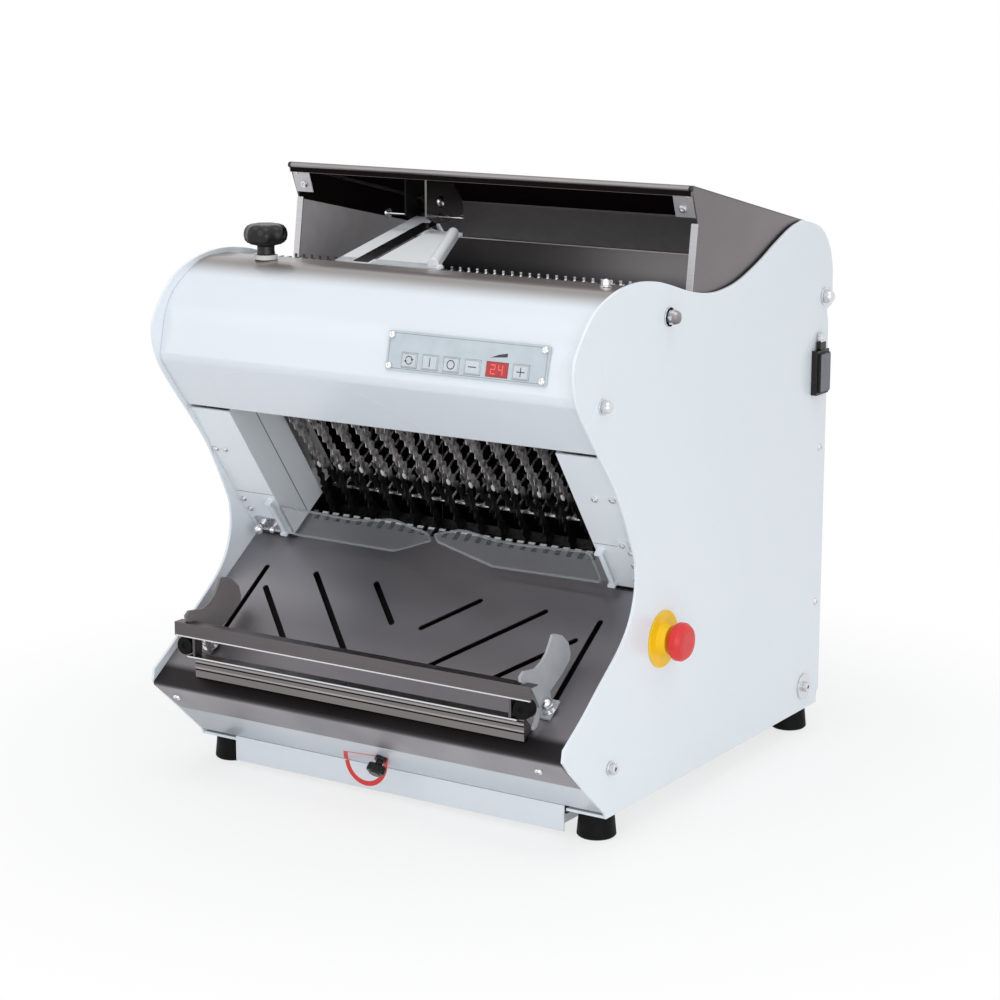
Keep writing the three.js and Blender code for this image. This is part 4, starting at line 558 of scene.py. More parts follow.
def plate(name, outline, holes, place, depth, edge=0.3, segments=2):
    """A flat piece with holes. place(u, v, n) turns its drawing and depth into a place."""
    curve = bpy.data.curves.new(name, "CURVE")
    curve.dimensions = "2D"
    curve.fill_mode = "BOTH"
    curve.extrude = max(depth / 2 - edge, 0.001)
    curve.bevel_depth = edge
    curve.bevel_resolution = segments
    curve.offset = -edge
    for loop in (outline, *holes):
        spline = curve.splines.new("POLY")
        spline.points.add(len(loop) - 1)
        for point, (u, v) in zip(spline.points, loop):
            point.co = (u, v, 0, 1)
        spline.use_cyclic_u = True
    drawn = bpy.data.objects.new(name, curve)
    bpy.context.scene.collection.objects.link(drawn)
    bpy.context.view_layer.update()
    mesh = bpy.data.meshes.new_from_object(drawn.evaluated_get(bpy.context.evaluated_depsgraph_get()))
    bpy.data.objects.remove(drawn)
    bm = bmesh.new()
    bm.from_mesh(mesh)
    bmesh.ops.remove_doubles(bm, verts=bm.verts, dist=1e-5)
    for vertex in bm.verts:
        vertex.co = place(vertex.co.x, vertex.co.y, vertex.co.z + depth / 2)
    bmesh.ops.recalc_face_normals(bm, faces=bm.faces)
    bm.to_mesh(mesh)
    bm.free()
    shade(mesh)
    return add_object(name, mesh)


def trim(name, body, slot, outline, place, depth, edge, look=None, segments=2, holes=()):
    """A plate that is a piece by itself."""
    return settle(plate(name, outline, holes, place, depth, edge, segments), body, slot, (), look)


def film(name, body, slot, outline, place, look):
    """A print, a joint line or a line of painted shade: a plate a tenth of a millimetre thick."""
    return trim(name, body, slot, outline, place, 0.12, 0.02, look, 1)


def bent_sheet(name, path, thickness, x0, x1, edge=0.3):
    return plate(name, path + beside(path, thickness)[::-1], (), across(x0), x1 - x0, edge)


def lathe(name, profile, origin, direction, steps=40, smooth=30):
    """Turns a profile of (radius, height) pairs in millimetres about a line."""
    turn = Vector((0, 0, 1)).rotation_difference(direction)
    bm = bmesh.new()
    rings = []
    for radius, height in profile:
        if radius < 1e-6:
            rings.append([bm.verts.new(origin + turn @ Vector((0, 0, height * MM)))])
            continue
        rings.append([bm.verts.new(origin + turn @ Vector((
            radius * MM * math.cos(2 * math.pi * i / steps), radius * MM * math.sin(2 * math.pi * i / steps),
            height * MM))) for i in range(steps)])
    for low, high in zip(rings, rings[1:]):
        for i in range(steps):
            corners = [ring[k % len(ring)] for ring, k in ((low, i), (low, i + 1), (high, i + 1), (high, i))]
            corners = list(dict.fromkeys(corners))
            if len(corners) > 2:
                bm.faces.new(corners)
    bmesh.ops.recalc_face_normals(bm, faces=bm.faces)
    return built(name, bm, smooth)


def soft(profile, bend, steps=3):
    """Rounds a profile's corners, all but its ends."""
    return rounded([(p, bend if 0 < i < len(profile) - 1 else 0) for i, p in enumerate(profile)], steps)


def bar(radius, start, finish):
    """The profile of a plain round bar."""
    return [(0, start), (radius, start), (radius, finish), (0, finish)]


def dome(radius, rise, start=0.0, steps=8):
    """The profile of a dome that rises from a radius to the axis."""
    return [(radius * math.cos(a), start + rise * math.sin(a)) for a in
            (math.pi / 2 * i / steps for i in range(steps + 1))]


def joined(name, pieces):
    bm = bmesh.new()
    for piece in pieces:
        bm.from_mesh(piece.data)
        bpy.data.objects.remove(piece)
    return built(name, bm)


def cut_with(piece, cutters):
    for cutter in cutters:
        made = piece.modifiers.new("cut", "BOOLEAN")
        made.operation = "DIFFERENCE"
        made.solver = "EXACT"
        made.object = cutter
    bake(piece)
    for cutter in cutters:
        bpy.data.objects.remove(cutter)
    return piece


def block(name, corners):
    """A block from eight places: four low corners in turn, then the four above them."""
    bm = bmesh.new()
    v = [bm.verts.new(c) for c in corners]
    for face in ((0, 1, 2, 3), (4, 5, 6, 7), (0, 1, 5, 4), (1, 2, 6, 5), (2, 3, 7, 6), (3, 0, 4, 7)):
        bm.faces.new([v[i] for i in face])
    bmesh.ops.recalc_face_normals(bm, faces=bm.faces)
    return built(name, bm)


def on_line(origin, direction):
    """A place function for a plate whose depth runs along a direction from the origin."""
    u = (UP if abs(direction.z) < 0.9 else RIGHT).cross(direction).normalized()
    v = direction.cross(u)
    return lambda a, b, h: origin + (u * a + v * b + direction * h) * MM


# Fasteners
DOME_SHARE = 0.84


def dome_nut(name, body, origin, direction, hex_radius=8.2, height=11.7, washer=10.0, washer_thick=1.5):
    """A washer, a hexagon and a dome, from the face that they sit on outwards."""
    ring = lathe(name + "_washer", soft(bar(washer, 0, washer_thick), 0.4), origin, direction)
    seat = origin + direction * washer_thick * MM
    half = (height - washer_thick) * 0.5
    nut = plate(name + "_hex", circle(0, 0, hex_radius, 6), (), on_line(seat, direction), half, 0.5)
    top = seat + direction * half * MM
    cap = lathe(name + "_dome", dome(hex_radius * DOME_SHARE, height - washer_thick - half), top, direction)
    return settle(joined(name, [ring, nut, cap]), body, "bright_steel")


def cap_screw(name, body, origin, direction, radius=4.5, height=2.6, socket=2.0, slot="bright_steel"):
    """A low round head with a hexagon socket."""
    profile = [(0, height * 0.45), (socket, height * 0.45), (socket, height * 0.98), (radius * 0.6, height),
               (radius * 0.9, height * 0.75), (radius, height * 0.35), (radius, 0)]
    return settle(lathe(name, profile, origin, direction, 30), body, slot)


# Side panels
PANEL_DEPTH = 574
PANEL_HEIGHT = 562
PANEL_BOTTOM = 28
toe_shares = [(0.146, 0), (0.14, 0.012), (0.022, 0.121), (0, 0.146), (0.004, 0.168)]
front_curve_shares = [
    (0.062, 0.207), (0.117, 0.25), (0.188, 0.305), (0.223, 0.347), (0.24, 0.392), (0.242, 0.434),
    (0.232, 0.473), (0.181, 0.573), (0.131, 0.641), (0.08, 0.705), (0.047, 0.751), (0.03, 0.794),
    (0.029, 0.833), (0.044, 0.863), (0.078, 0.903), (0.115, 0.928), (0.174, 0.947), (0.237, 0.953),
    (0.3, 0.947), (0.348, 0.936), (0.42, 0.916), (0.484, 0.905), (0.54, 0.904), (0.608, 0.914),
    (0.686, 0.94), (0.746, 0.966), (0.807, 0.99), (0.847, 0.999), (0.876, 0.999), (0.943, 0.979),
    (0.983, 0.938), (0.998, 0.892),
]
back_shares = [(1, 0.822), (0.976, 0.814), (0.984, 0.786), (0.984, 0.028), (0.975, 0.02), (0.975, 0)]
HOOD_PIVOT = (537, 501)
INFEED_BOLT = (182, 522)
FRONT_TIE = (74, 80)
REAR_TIE = (508, 56)
ESTOP = (178, 190)
PIN_HOLE = 5.4
BOLT_HOLE = 4.4
ESTOP_HOLE = 11.4
FOOT_X = 235
FOOT_FRONT_Y = 91
FOOT_REAR_Y = 524
FLANGE_WIDTH = 44


def panel_point(share):
    return (PANEL_TOE + share[0] * PANEL_DEPTH, PANEL_BOTTOM + share[1] * PANEL_HEIGHT)


def side_panel(side, extra_holes=()):
    toe = [panel_point(s) for s in toe_shares]
    outline = toe[:-1] + curve_through([toe[-1]] + [panel_point(s) for s in front_curve_shares], 8)
    outline += [panel_point(s) for s in back_shares]
    pin_holes = [circle(*place, PIN_HOLE) for place in (HOOD_PIVOT, FRONT_TIE, REAR_TIE)]
    holes = (*pin_holes, circle(*INFEED_BOLT, BOLT_HOLE), *extra_holes)
    x = INNER if side > 0 else -INNER - PANEL_SHEET
    sheet = plate("panel_sheet", outline, holes, across(x), PANEL_SHEET, 0.5, 3)
    y0, y1 = panel_point(toe_shares[0])[0], panel_point(back_shares[-1])[0]
    x0, x1 = sorted((side * (INNER - FLANGE_WIDTH), side * INNER))
    foot_holes = [circle(side * FOOT_X, y, BOLT_HOLE) for y in (FOOT_FRONT_Y, FOOT_REAR_Y)]
    flange = plate("panel_flange", box_outline(x0, y0, x1, y1), foot_holes,
                   lambda u, v, n: at(u, v, PANEL_BOTTOM + n), PANEL_SHEET, 0.3)
    name = ("right" if side > 0 else "left") + "_side_panel"
    return settle(joined(name + "_shape", [sheet, flange]), "frame", "white_paint", (name,))


side_panel(1, (circle(*ESTOP, ESTOP_HOLE),))
side_panel(-1)

# Cowl
SPAN = INNER - GAP
SHEET = 1.5
THICK_SHEET = 2
FOLD = 3
COWL_REAR_Y = 130
COWL_TOP_Z = 558
COWL_REAR_LIP = 16
COWL_BROW = (82, 558)
COWL_BROW_BEND = 70
COWL_FACE_TOP = (24, 523)
COWL_CHIN = (9, 459)
COWL_CHIN_BEND = 14
COWL_EDGE = (54, 401)
COWL_EDGE_END = (61, 408)
cowl_path = rounded([((COWL_REAR_Y, COWL_TOP_Z - COWL_REAR_LIP), 0), ((COWL_REAR_Y, COWL_TOP_Z), FOLD),
                     (COWL_BROW, COWL_BROW_BEND), (COWL_FACE_TOP, COWL_BROW_BEND),
                     (COWL_CHIN, COWL_CHIN_BEND), (COWL_EDGE, FOLD), (COWL_EDGE_END, 0)], 14)
FACE_UP = Vector((0, COWL_FACE_TOP[0] - COWL_CHIN[0], COWL_FACE_TOP[1] - COWL_CHIN[1])).normalized()
FACE_OUT = Vector((0, -FACE_UP.z, FACE_UP.y))
FACE_START = at(0, *COWL_CHIN)


def on_face(x, v, n):
    """A place on the cowl's face: x across, v up it from the chin, n out of it."""
    return FACE_START + RIGHT * x * MM + FACE_UP * v * MM + FACE_OUT * n * MM


PLATE_X = 34
PLATE_WIDTH = 188.5
PLATE_V = 13.5
PLATE_HEIGHT = 40
KEY_V = 17.8
KEY_HEIGHT = 14.6
KEY_WIDTH = 18.6
KEY_FLANGE = 1
KEY_RUN = 0.3
DISPLAY_WIDTH = 25
key_shares = {"mode": 0.098, "start": 0.23, "stop": 0.362, "minus": 0.495, "plus": 0.791}
DISPLAY_SHARE = 0.628
WINDOW_EDGE = 1.4
KNOB_X = -183
KNOB_Y = 100
KNOB_HOLE = 7.4
CUT_DEPTH = 10


def key_x(share):
    return PLATE_X + share * PLATE_WIDTH


def key_box(x, width, more, radius=0.0):
    """The outline of a key or the display, made larger all round by a distance."""
    return box_outline(x - more, KEY_V - more, x + width + more, KEY_V + KEY_HEIGHT + more, radius)


def front_cowl():
    sheet = bent_sheet("front_cowl_shape", cowl_path, THICK_SHEET, -SPAN, SPAN, 0.4)
    first = key_x(key_shares["mode"])
    opening = key_box(first, key_x(key_shares["plus"]) + KEY_WIDTH - first, WINDOW_EDGE)
    window = block("window", [on_face(x, v, n) for n in (-6, 4) for x, v in opening])
    hole = lathe("hole", bar(KNOB_HOLE, -CUT_DEPTH, CUT_DEPTH), at(KNOB_X, KNOB_Y, COWL_TOP_Z), UP)
    cut_with(sheet, [window, hole])
    shade(sheet.data)
    # The cowl's top behind the brow carries a painted reflection of the hood.
    return settle(sheet, "frame", "white_paint", ("front_cowl",), "cowl_paint")


front_cowl()

# Hood
HOOD_HALF = INNER - 2.5
HOOD_FRONT = (235, 648.5)
HOOD_LIP_END = (236.5, 636.5)
HOOD_REAR = (500, 587.5)
HOOD_REAR_BEND = 24
HOOD_TAIL = (548, 535)
HOOD_NOTCH = (251, 608)
HOOD_TOE = (241, 540)
HOOD_BELLY = [(310, 500), (520, 478), (551, 500)]
hood_path = rounded([(HOOD_TAIL, 0), (HOOD_REAR, HOOD_REAR_BEND), (HOOD_FRONT, FOLD), (HOOD_LIP_END, 0)], 10)


def hood():
    top = bent_sheet("hood_top", hood_path, SHEET, -HOOD_HALF, HOOD_HALF, 0.3)
    outline = beside(hood_path, SHEET / 2)[1:-1] + [HOOD_NOTCH, HOOD_TOE] + HOOD_BELLY
    faces = [plate("hood_side", outline, (circle(*HOOD_PIVOT, PIN_HOLE),), across(x), SHEET, 0.2)
             for x in (HOOD_HALF - SHEET, -HOOD_HALF)]
    return settle(joined("hood_shape", [top, *faces]), "hood", "brushed_steel", ("hood",), "hood_steel")


hood()

# Hood trim. A screw's sizes are its radius, height and socket; a nut's are its hexagon's radius, its height,
# and its washer's radius and thickness.
HOOD_ROD = (236.2, 644.4)
HOOD_ROD_R = 2.6
HOOD_CAP = 3
GUSSET_SLOPE = 0.34
GUSSET_TOP = 643
GUSSET_LOW = 614
GUSSET_WIDTH = 23
GUSSET_FACE_Y = 237.2
GUSSET_HOLE = (241, 622, 1.6)
gusset_fasteners = (("screw", 240, 623, (4.4, 2.4, 1.8)), ("rivet", 247, 636, (2.0, 1.0, 0.6)))
TRIM_SHEET = 1.2
SKIN_GAP = 0.2
HEM_WIDTH = 8
PAINTED_SKIN = 0.15
PAINTED_SKIN_EDGE = 0.03
PAINTED_SKIN_GAP = 0.05
LIP_SHADE = (636.8, 642.8)


def on_gusset(z):
    """How far back the gussets' face is at a height."""
    return GUSSET_FACE_Y + (GUSSET_TOP - z) * GUSSET_SLOPE


def on_hem(z):
    """How far back the side's front edge is at a height."""
    return HOOD_TOE[0] + (z - HOOD_TOE[1]) * (HOOD_NOTCH[0] - HOOD_TOE[0]) / (HOOD_NOTCH[1] - HOOD_TOE[1])


def hood_corner(side):
    """The cap on the rolled edge, the gusset with its fasteners, and the hem of the hood's side."""
    tip = at(side * (HOOD_HALF - HOOD_CAP), *HOOD_ROD)
    cap = lathe("hood_roll_cap", soft(bar(HOOD_ROD_R + 0.6, 0, HOOD_CAP), 0.5), tip, RIGHT * side, 20)
    settle(cap, "hood", "black_plastic")
    x_out = side * (HOOD_HALF - SHEET - SKIN_GAP)
    x_in = side * (HOOD_HALF - SHEET - GUSSET_WIDTH)
    hole_x, hole_z, hole_r = GUSSET_HOLE
    corners = [(x_out, GUSSET_TOP), (x_in, GUSSET_TOP), (x_in, GUSSET_LOW), (x_out, GUSSET_LOW)]
    trim("hood_gusset", "hood", "bright_steel", corners, lambda u, v, n: at(u, on_gusset(v) + n, v),
         TRIM_SHEET, 0.2, "gusset_steel", holes=(circle(side * hole_x, hole_z, hole_r),))
    out = Vector((0, -1, -GUSSET_SLOPE)).normalized()
    for name, x, z, sizes in gusset_fasteners:
        cap_screw("hood_gusset_" + name, "hood", at(side * x, on_gusset(z), z), out, *sizes)
    x_out, x_in = side * (HOOD_HALF - 0.1), side * (HOOD_HALF - HEM_WIDTH)
    corners = [(x_out, HOOD_TOE[1]), (x_in, HOOD_TOE[1]), (x_in, HOOD_NOTCH[1]), (x_out, HOOD_NOTCH[1])]
    trim("hood_hem", "hood", "bright_steel", corners, lambda u, v, n: at(u, on_hem(v) - n, v), TRIM_SHEET,
         0.3, "gusset_steel")


def hood_painted_skins():
    """Thin skins under the hood: painted shade on its underside, its lip and a band below its top, mid grey
    painted shade at its rear end, and painted light on the inner faces of its sides.
    """
    under = beside(hood_path, SHEET + PAINTED_SKIN_GAP)
    half = HOOD_HALF - SHEET - SKIN_GAP
    for part, finish in ((under[5:-6], "inner_steel"), (under[:6], "rear_steel")):
        painted_shade_sheet = bent_sheet("hood_painted_skin", part, PAINTED_SKIN, -half, half, PAINTED_SKIN_EDGE)
        settle(painted_shade_sheet, "hood", "brushed_steel", (), finish)
    low_part = [(252, 606), (246, 543), (312, 504), (515, 483), (524, 500), (528, 540), (505, 552)]
    high_part = [(256, 638), (252, 606.4), (505, 552.4), (516, 560), (490, 584)]
    for x in (half, -half - PAINTED_SKIN):
        for part, finish in ((low_part, "side_steel"), (high_part, "inner_steel")):
            trim("hood_side_painted_skin", "hood", "brushed_steel", part, across(x), PAINTED_SKIN, PAINTED_SKIN_EDGE, finish, 1)
    fall = (HOOD_LIP_END[0] - HOOD_FRONT[0]) / (HOOD_FRONT[1] - HOOD_LIP_END[1])
    trim("hood_lip_shade", "hood", "brushed_steel", box_outline(-half, LIP_SHADE[0], half, LIP_SHADE[1]),
         lambda u, v, n: at(u, HOOD_FRONT[0] + (HOOD_FRONT[1] - v) * fall - PAINTED_SKIN_GAP - n, v), PAINTED_SKIN,
         PAINTED_SKIN_EDGE, "inner_steel", 1)


rod_half = HOOD_HALF - HOOD_CAP
roll = lathe("hood_roll", bar(HOOD_ROD_R, 0, 2 * rod_half), at(-rod_half, *HOOD_ROD), RIGHT, 20)
settle(roll, "hood", "bright_steel", (), "rod_steel")
hood_corner(-1)
hood_corner(1)
hood_painted_skins()

# Presser: a bar on a bracket under the hood, with a plate beside it that ends in a roll
PRESS_X = -110
PRESS_HALF = 12
PRESS_LENGTH = 163
PRESS_SLOPE = math.radians(12.2)
PRESS_PIVOT = (300, 590)
FIN_NEAR = 34
FIN_REAR = 77
FIN_FRONT = 118
FIN_START = PRESS_LENGTH * 0.36
ROLL_R = 6
BAND_START = 32
ROLL_END = 157
PRESS_SHEET = 4
PIN_END = 9
FOOT_WIDTH = 12
BAND_WIDTH = 19
BAND_LEVEL = PRESS_SHEET / 2 + 0.1
BAND_GAP = 0.4
BRACE = (8, 4)
BARREL_HOLE = 4.4
BARREL_R = 8


def on_arm(x, d, h):
    """A place on the presser: x across, d ahead of its pivot, h above its middle."""
    c, s = math.cos(PRESS_SLOPE), math.sin(PRESS_SLOPE)
    return at(PRESS_X + x, PRESS_PIVOT[0] - d * c - h * s, PRESS_PIVOT[1] - d * s + h * c)


def arm_plate(name, outline):
    return plate(name, outline, (), lambda u, v, n: on_arm(u, v, n - PRESS_SHEET / 2), PRESS_SHEET, 0.5)


def presser():
    shaft = arm_plate("bar", box_outline(-PRESS_HALF, PIN_END, PRESS_HALF, PRESS_LENGTH))
    foot = arm_plate("foot", box_outline(-PRESS_HALF, PRESS_LENGTH - FOOT_WIDTH, FIN_FRONT, PRESS_LENGTH))
    fin = arm_plate("fin", [(FIN_NEAR, FIN_START - FOOT_WIDTH), (FIN_REAR, FIN_START),
                            (FIN_FRONT, PRESS_LENGTH), (FIN_NEAR, PRESS_LENGTH)])
    brace = arm_plate("brace", box_outline(-PRESS_HALF, FIN_START - BRACE[0], FIN_REAR, FIN_START + BRACE[1]))
    slope = (FIN_FRONT - FIN_REAR) / (PRESS_LENGTH - FIN_START)
    high = ROLL_R - PRESS_SHEET / 2
    start = on_arm(FIN_REAR - ROLL_R, FIN_START, high)
    end = on_arm(FIN_REAR - ROLL_R + (ROLL_END - FIN_START) * slope, ROLL_END, high)
    line = end - start
    roll = lathe("roll", soft(bar(ROLL_R, 0, line.length / MM), 0.8), start, line.normalized())
    # The bar's paint is lighter than the white paint: painted light.
    settle(joined("presser_arm_shape", [shaft, foot, fin, brace, roll]), "presser", "white_paint",
           ("presser_arm",), "presser_paint")
    # A black strip beside the bar, in the shadow between the bar and the fin: painted shade.
    band = box_outline(PRESS_HALF + BAND_GAP, BAND_START, PRESS_HALF + BAND_WIDTH, PRESS_LENGTH)
    trim("presser_painted_shadow", "presser", "white_paint", band, lambda u, v, n: on_arm(u, v, BAND_LEVEL + n),
         TRIM_SHEET, 0.5, "black_plastic")
    tube = [(BARREL_HOLE, -PRESS_HALF), (BARREL_R, -PRESS_HALF), (BARREL_R, PRESS_HALF),
            (BARREL_HOLE, PRESS_HALF), (BARREL_HOLE, -PRESS_HALF)]
    barrel = lathe("presser_barrel", soft(tube, 0.6), at(PRESS_X, *PRESS_PIVOT), RIGHT)
    settle(barrel, "presser", "white_paint", (), "black_plastic")


CHEEK = 2.5
CHEEK_HOLE = (300, 607)
CHEEK_HOLE_R = 7
DOME_R = 6.6
DOME_RISE = 3.4
DOME_START = 3
PIN_R = 4
PIN_PROUD = 3.5
ROD_R = 1.8
ROD_LEFT = -55
ROD_RIGHT = 45
ROD_INSET = 3
ROD_DISC = (5.5, -57, -54.4)
cheek = [(273, 637), (273, 592), (290, 583), (310, 583), (347, 588), (345, 601), (339, 612), (330, 620),
         (319, 626)]
roof = [(286, 634.9), (286, 632.4), (330, 622.2), (330, 624.7)]


def bracket():
    """Two cheeks and a roof under the hood, with the presser's pin and a thin rod through them."""
    holes = (circle(*CHEEK_HOLE, CHEEK_HOLE_R, 24),)
    reach = PRESS_HALF + GAP
    pin_end = reach + PIN_PROUD
    # The left cheek is near-black painted shade; the right cheek is the bracket's own steel.
    trim("hood_bracket_cheek", "hood", "brushed_steel", cheek, across(PRESS_X - reach - CHEEK), CHEEK, 0.4,
         "shade_steel", holes=holes)
    made = [plate("cheek", cheek, holes, across(PRESS_X + reach), CHEEK, 0.4)]
    cap_place = at(PRESS_X + reach - 0.5, *CHEEK_HOLE)
    cap = lathe("hood_bracket_dome", dome(DOME_R, DOME_RISE, DOME_START), cap_place, RIGHT)
    settle(cap, "hood", "bright_steel")
    made.append(plate("roof", roof, (), across(PRESS_X - reach), reach * 2, 0.2))
    pin = at(PRESS_X, *PRESS_PIVOT)
    made.append(lathe("pin", soft(bar(PIN_R, -pin_end, pin_end), 0.6), pin, RIGHT))
    settle(joined("hood_bracket_shape", made), "hood", "brushed_steel", ("hood_bracket",))
    rods = [lathe("rod", bar(ROD_R, ROD_LEFT, -reach - ROD_INSET), pin, RIGHT, 16),
            lathe("rod", bar(ROD_R, reach + ROD_INSET, ROD_RIGHT), pin, RIGHT, 16),
            lathe("disc", soft(bar(*ROD_DISC), 0.5), pin, RIGHT, 24)]
    settle(joined("hood_bracket_rod", rods), "hood", "bright_steel")


presser()
bracket()

# Blades
CROSS = 9
CROSS_S = 150
CROSS_B = 68
BLADES_TOP_S = -62
BLADES_LOW_S = 236
TOP_P = (BLADES_TOP_S - CROSS_S) / math.cos(math.radians(CROSS))
LOW_P = (BLADES_LOW_S - CROSS_S) / math.cos(math.radians(CROSS))
BLADE_PITCH = 14.35
BLADE_COUNT = 28
BLADE_HALF = 5.85
SCALLOP = 12.2
SCALLOP_DEPTH = 3.4
TIP_P = -22
TIP_R = 2.1
TIP_HALF = 4.5
BLADE_THICK = 0.9
HOLDER = 5
HOLDER_DEPTH = 12


def row_x(i, count=BLADE_COUNT, pitch=BLADE_PITCH):
    """The place across of one in an even row about the mid plane, by default of a blade."""
    return (i - (count - 1) / 2) * pitch


def in_frame(turn_share, x, p, q):
    """A place in a blade frame: p down its plane from the crossing line, q square to it."""
    angle = math.radians(CROSS * turn_share)
    return leaning(x, CROSS_S + p * math.cos(angle) - q * math.sin(angle),
                   CROSS_B + p * math.sin(angle) + q * math.cos(angle))


def blade_outline(start, end, phase):
    """A band whose front edge runs in scallops; each arc meets the next in a point."""
    low, high = [], []
    steps = int((end - start) / SCALLOP * 6)
    for i in range(steps + 1):
        p = start + (end - start) * i / steps
        share = ((p - start) / SCALLOP + phase) % 1.0
        bite = SCALLOP_DEPTH * (1 - abs(2 * share - 1) ** 1.6)
        low.append((p, -BLADE_HALF + bite))
        high.append((p, BLADE_HALF - SCALLOP_DEPTH + bite))
    return low + high[::-1]


def blade_set(name, turn_share, first):
    half = THROAT_HALF - 2
    start, end = TOP_P + GAP + HOLDER / 2, LOW_P - GAP - HOLDER / 2
    made = [plate("holder", box_outline(-half, p, half, p + HOLDER), (),
                  lambda u, v, n: in_frame(turn_share, u, v, n - HOLDER_DEPTH / 2), HOLDER_DEPTH, 0.3)
            for p in (TOP_P + GAP, LOW_P - GAP - HOLDER)]
    tip = [(TIP_R * math.sin(math.pi * k / 8), TIP_HALF * (1 - math.cos(math.pi * k / 8))) for k in range(9)]
    tips = []
    for i in range(first, BLADE_COUNT, 2):
        x = row_x(i)
        made.append(plate("blade", blade_outline(start, end, (i % 4) / 4), (),
                          lambda u, v, n, x=x: in_frame(turn_share, x - BLADE_THICK / 2 + n, u, v),
                          BLADE_THICK, 0.15, 1))
        tips.append(lathe("tip", tip, in_frame(turn_share, x, TIP_P, -BLADE_HALF), DOWN_THROAT, 12))
    body = name.replace("_set", "s")
    # The front set's tips are pale, a painted glint; the rear set's tips are dark steel.
    settle(joined(name + "_tips", tips), body, "bright_steel", (), "pale_nylon" if first else "dark_steel")
    return settle(joined(name + "_shape", made), body, "bright_steel", (name,), "blade_steel")


blade_set("front_blade_set", 1, 1)
blade_set("rear_blade_set", -1, 0)

# Round pieces
FOOT_PROFILE = [(0, 0), (18.5, 0), (20.5, 2), (18, 27.7), (4, 27.7), (4, 33.6), (7, 33.6), (7, 39.6),
                (0, 39.6)]
for side_name, side in SIDES:
    for end_name, y in (("front", FOOT_FRONT_Y), ("rear", FOOT_REAR_Y)):
        node = f"{side_name}_{end_name}_foot"
        foot = lathe(node + "_shape", soft(FOOT_PROFILE, 1.2), at(side * FOOT_X, y, 0), UP)
        settle(foot, "frame", "black_rubber", (node,))

KNOB_R = 23
KNOB_LOBE = 3.4
KNOB_LOBES = 7
KNOB_SMOOTH = 50
KNOB_LOW = 574.0
KNOB_HIGH = 595.6
knob_levels = [(0.6, 0), (0.82, 0.06), (0.95, 0.2), (1.0, 0.42), (0.99, 0.58), (0.94, 0.76), (0.82, 0.92),
               (0.62, 1.0), (0.3, 0.97), (0.0, 0.95)]
STEM_PROFILE = [(0, 563.6), (9.8, 563.6), (9.2, 568), (9.2, 572), (11.5, 575.5), (0, 575.5)]
STUD = (4, 546, 566)
BUSH_PROFILE = [(4.4, 548), (7, 548), (7, 558.3), (12.3, 558.3), (12.3, 563.2), (4.4, 563.2), (4.4, 548)]


def lobed_head(name, origin):
    """The clamp knob's head: its rim swings in and out over a flattened ball."""
    steps = KNOB_LOBES * 12
    mid = KNOB_R - KNOB_LOBE * 0.18
    swing = KNOB_LOBE * 0.42
    bm = bmesh.new()
    rings = []
    for share, rise in knob_levels:
        height = KNOB_LOW + rise * (KNOB_HIGH - KNOB_LOW)
        ring = []
        for i in range(steps):
            angle = 2 * math.pi * i / steps
            r = (mid + swing * math.cos(KNOB_LOBES * angle)) * share
            place = Vector((r * math.cos(angle), r * math.sin(angle), height))
            ring.append(bm.verts.new(origin + place * MM))
        rings.append(ring)
    bm.faces.new(rings[0][::-1])
    for low, high in zip(rings, rings[1:]):
        for i in range(steps):
            bm.faces.new((low[i], low[(i + 1) % steps], high[(i + 1) % steps], high[i]))
    bmesh.ops.remove_doubles(bm, verts=bm.verts, dist=1e-6)
    bmesh.ops.recalc_face_normals(bm, faces=bm.faces)
    return built(name, bm, KNOB_SMOOTH)


def clamp_knob():
    place = at(KNOB_X, KNOB_Y, 0)
    stud = lathe("stud", bar(*STUD), place, UP, 24)
    stem = lathe("stem", soft(STEM_PROFILE, 1.0), place, UP)
    head = lobed_head("head", place)
    settle(joined("clamp_knob_shape", [stud, stem, head]), "clamp_knob", "black_plastic", ("clamp_knob",))
    bush = lathe("knob_bush_shape", soft(BUSH_PROFILE, 0.5), place, UP)
    settle(bush, "frame", "pale_nylon", ("knob_bush",))


clamp_knob()

# Emergency stop
OUT = INNER + PANEL_SHEET + GAP
COLLAR = OUT + 10.5
RIM = COLLAR + GAP + 5
estop_body = [(0, INNER - 34), (15, INNER - 34), (15, INNER - GAP), (11, INNER - GAP), (11, OUT), (30, OUT),
              (30, OUT + 1.5), (17, OUT + 1.5), (15.5, COLLAR), (7.4, COLLAR), (7.4, INNER), (0, INNER)]
estop_button = [(0, INNER + 5.3), (7, INNER + 5.3), (7, RIM), (18.2, RIM), (20, RIM + 2.6), (20, RIM + 8.6),
                (16.6, RIM + 13.2), (11, RIM + 13.9), (0, RIM + 14)]
for node, body, slot, profile, bend in (("estop_body", "frame", "yellow_plastic", estop_body, 0.7),
                                        ("estop_button", "estop", "red_plastic", estop_button, 1.6)):
    piece = lathe(node + "_shape", soft(profile, bend), at(0, *ESTOP), RIGHT, 64)
    settle(piece, body, slot, (node,))

# Bolts through the side panels
TIE_DISC = 15
TIE_DISC_THICK = 2
TIE_HEX = 6
TIE_HEX_HIGH = 5
TIE_BAR = 5
PIN_HEAD = 9
PIN_HEAD_HIGH = 5
TIE_SOCKET = 2.2
COWL_BOLT = (54, 450.5)
COWL_NUT = (7.2, 10.5, 8.6)

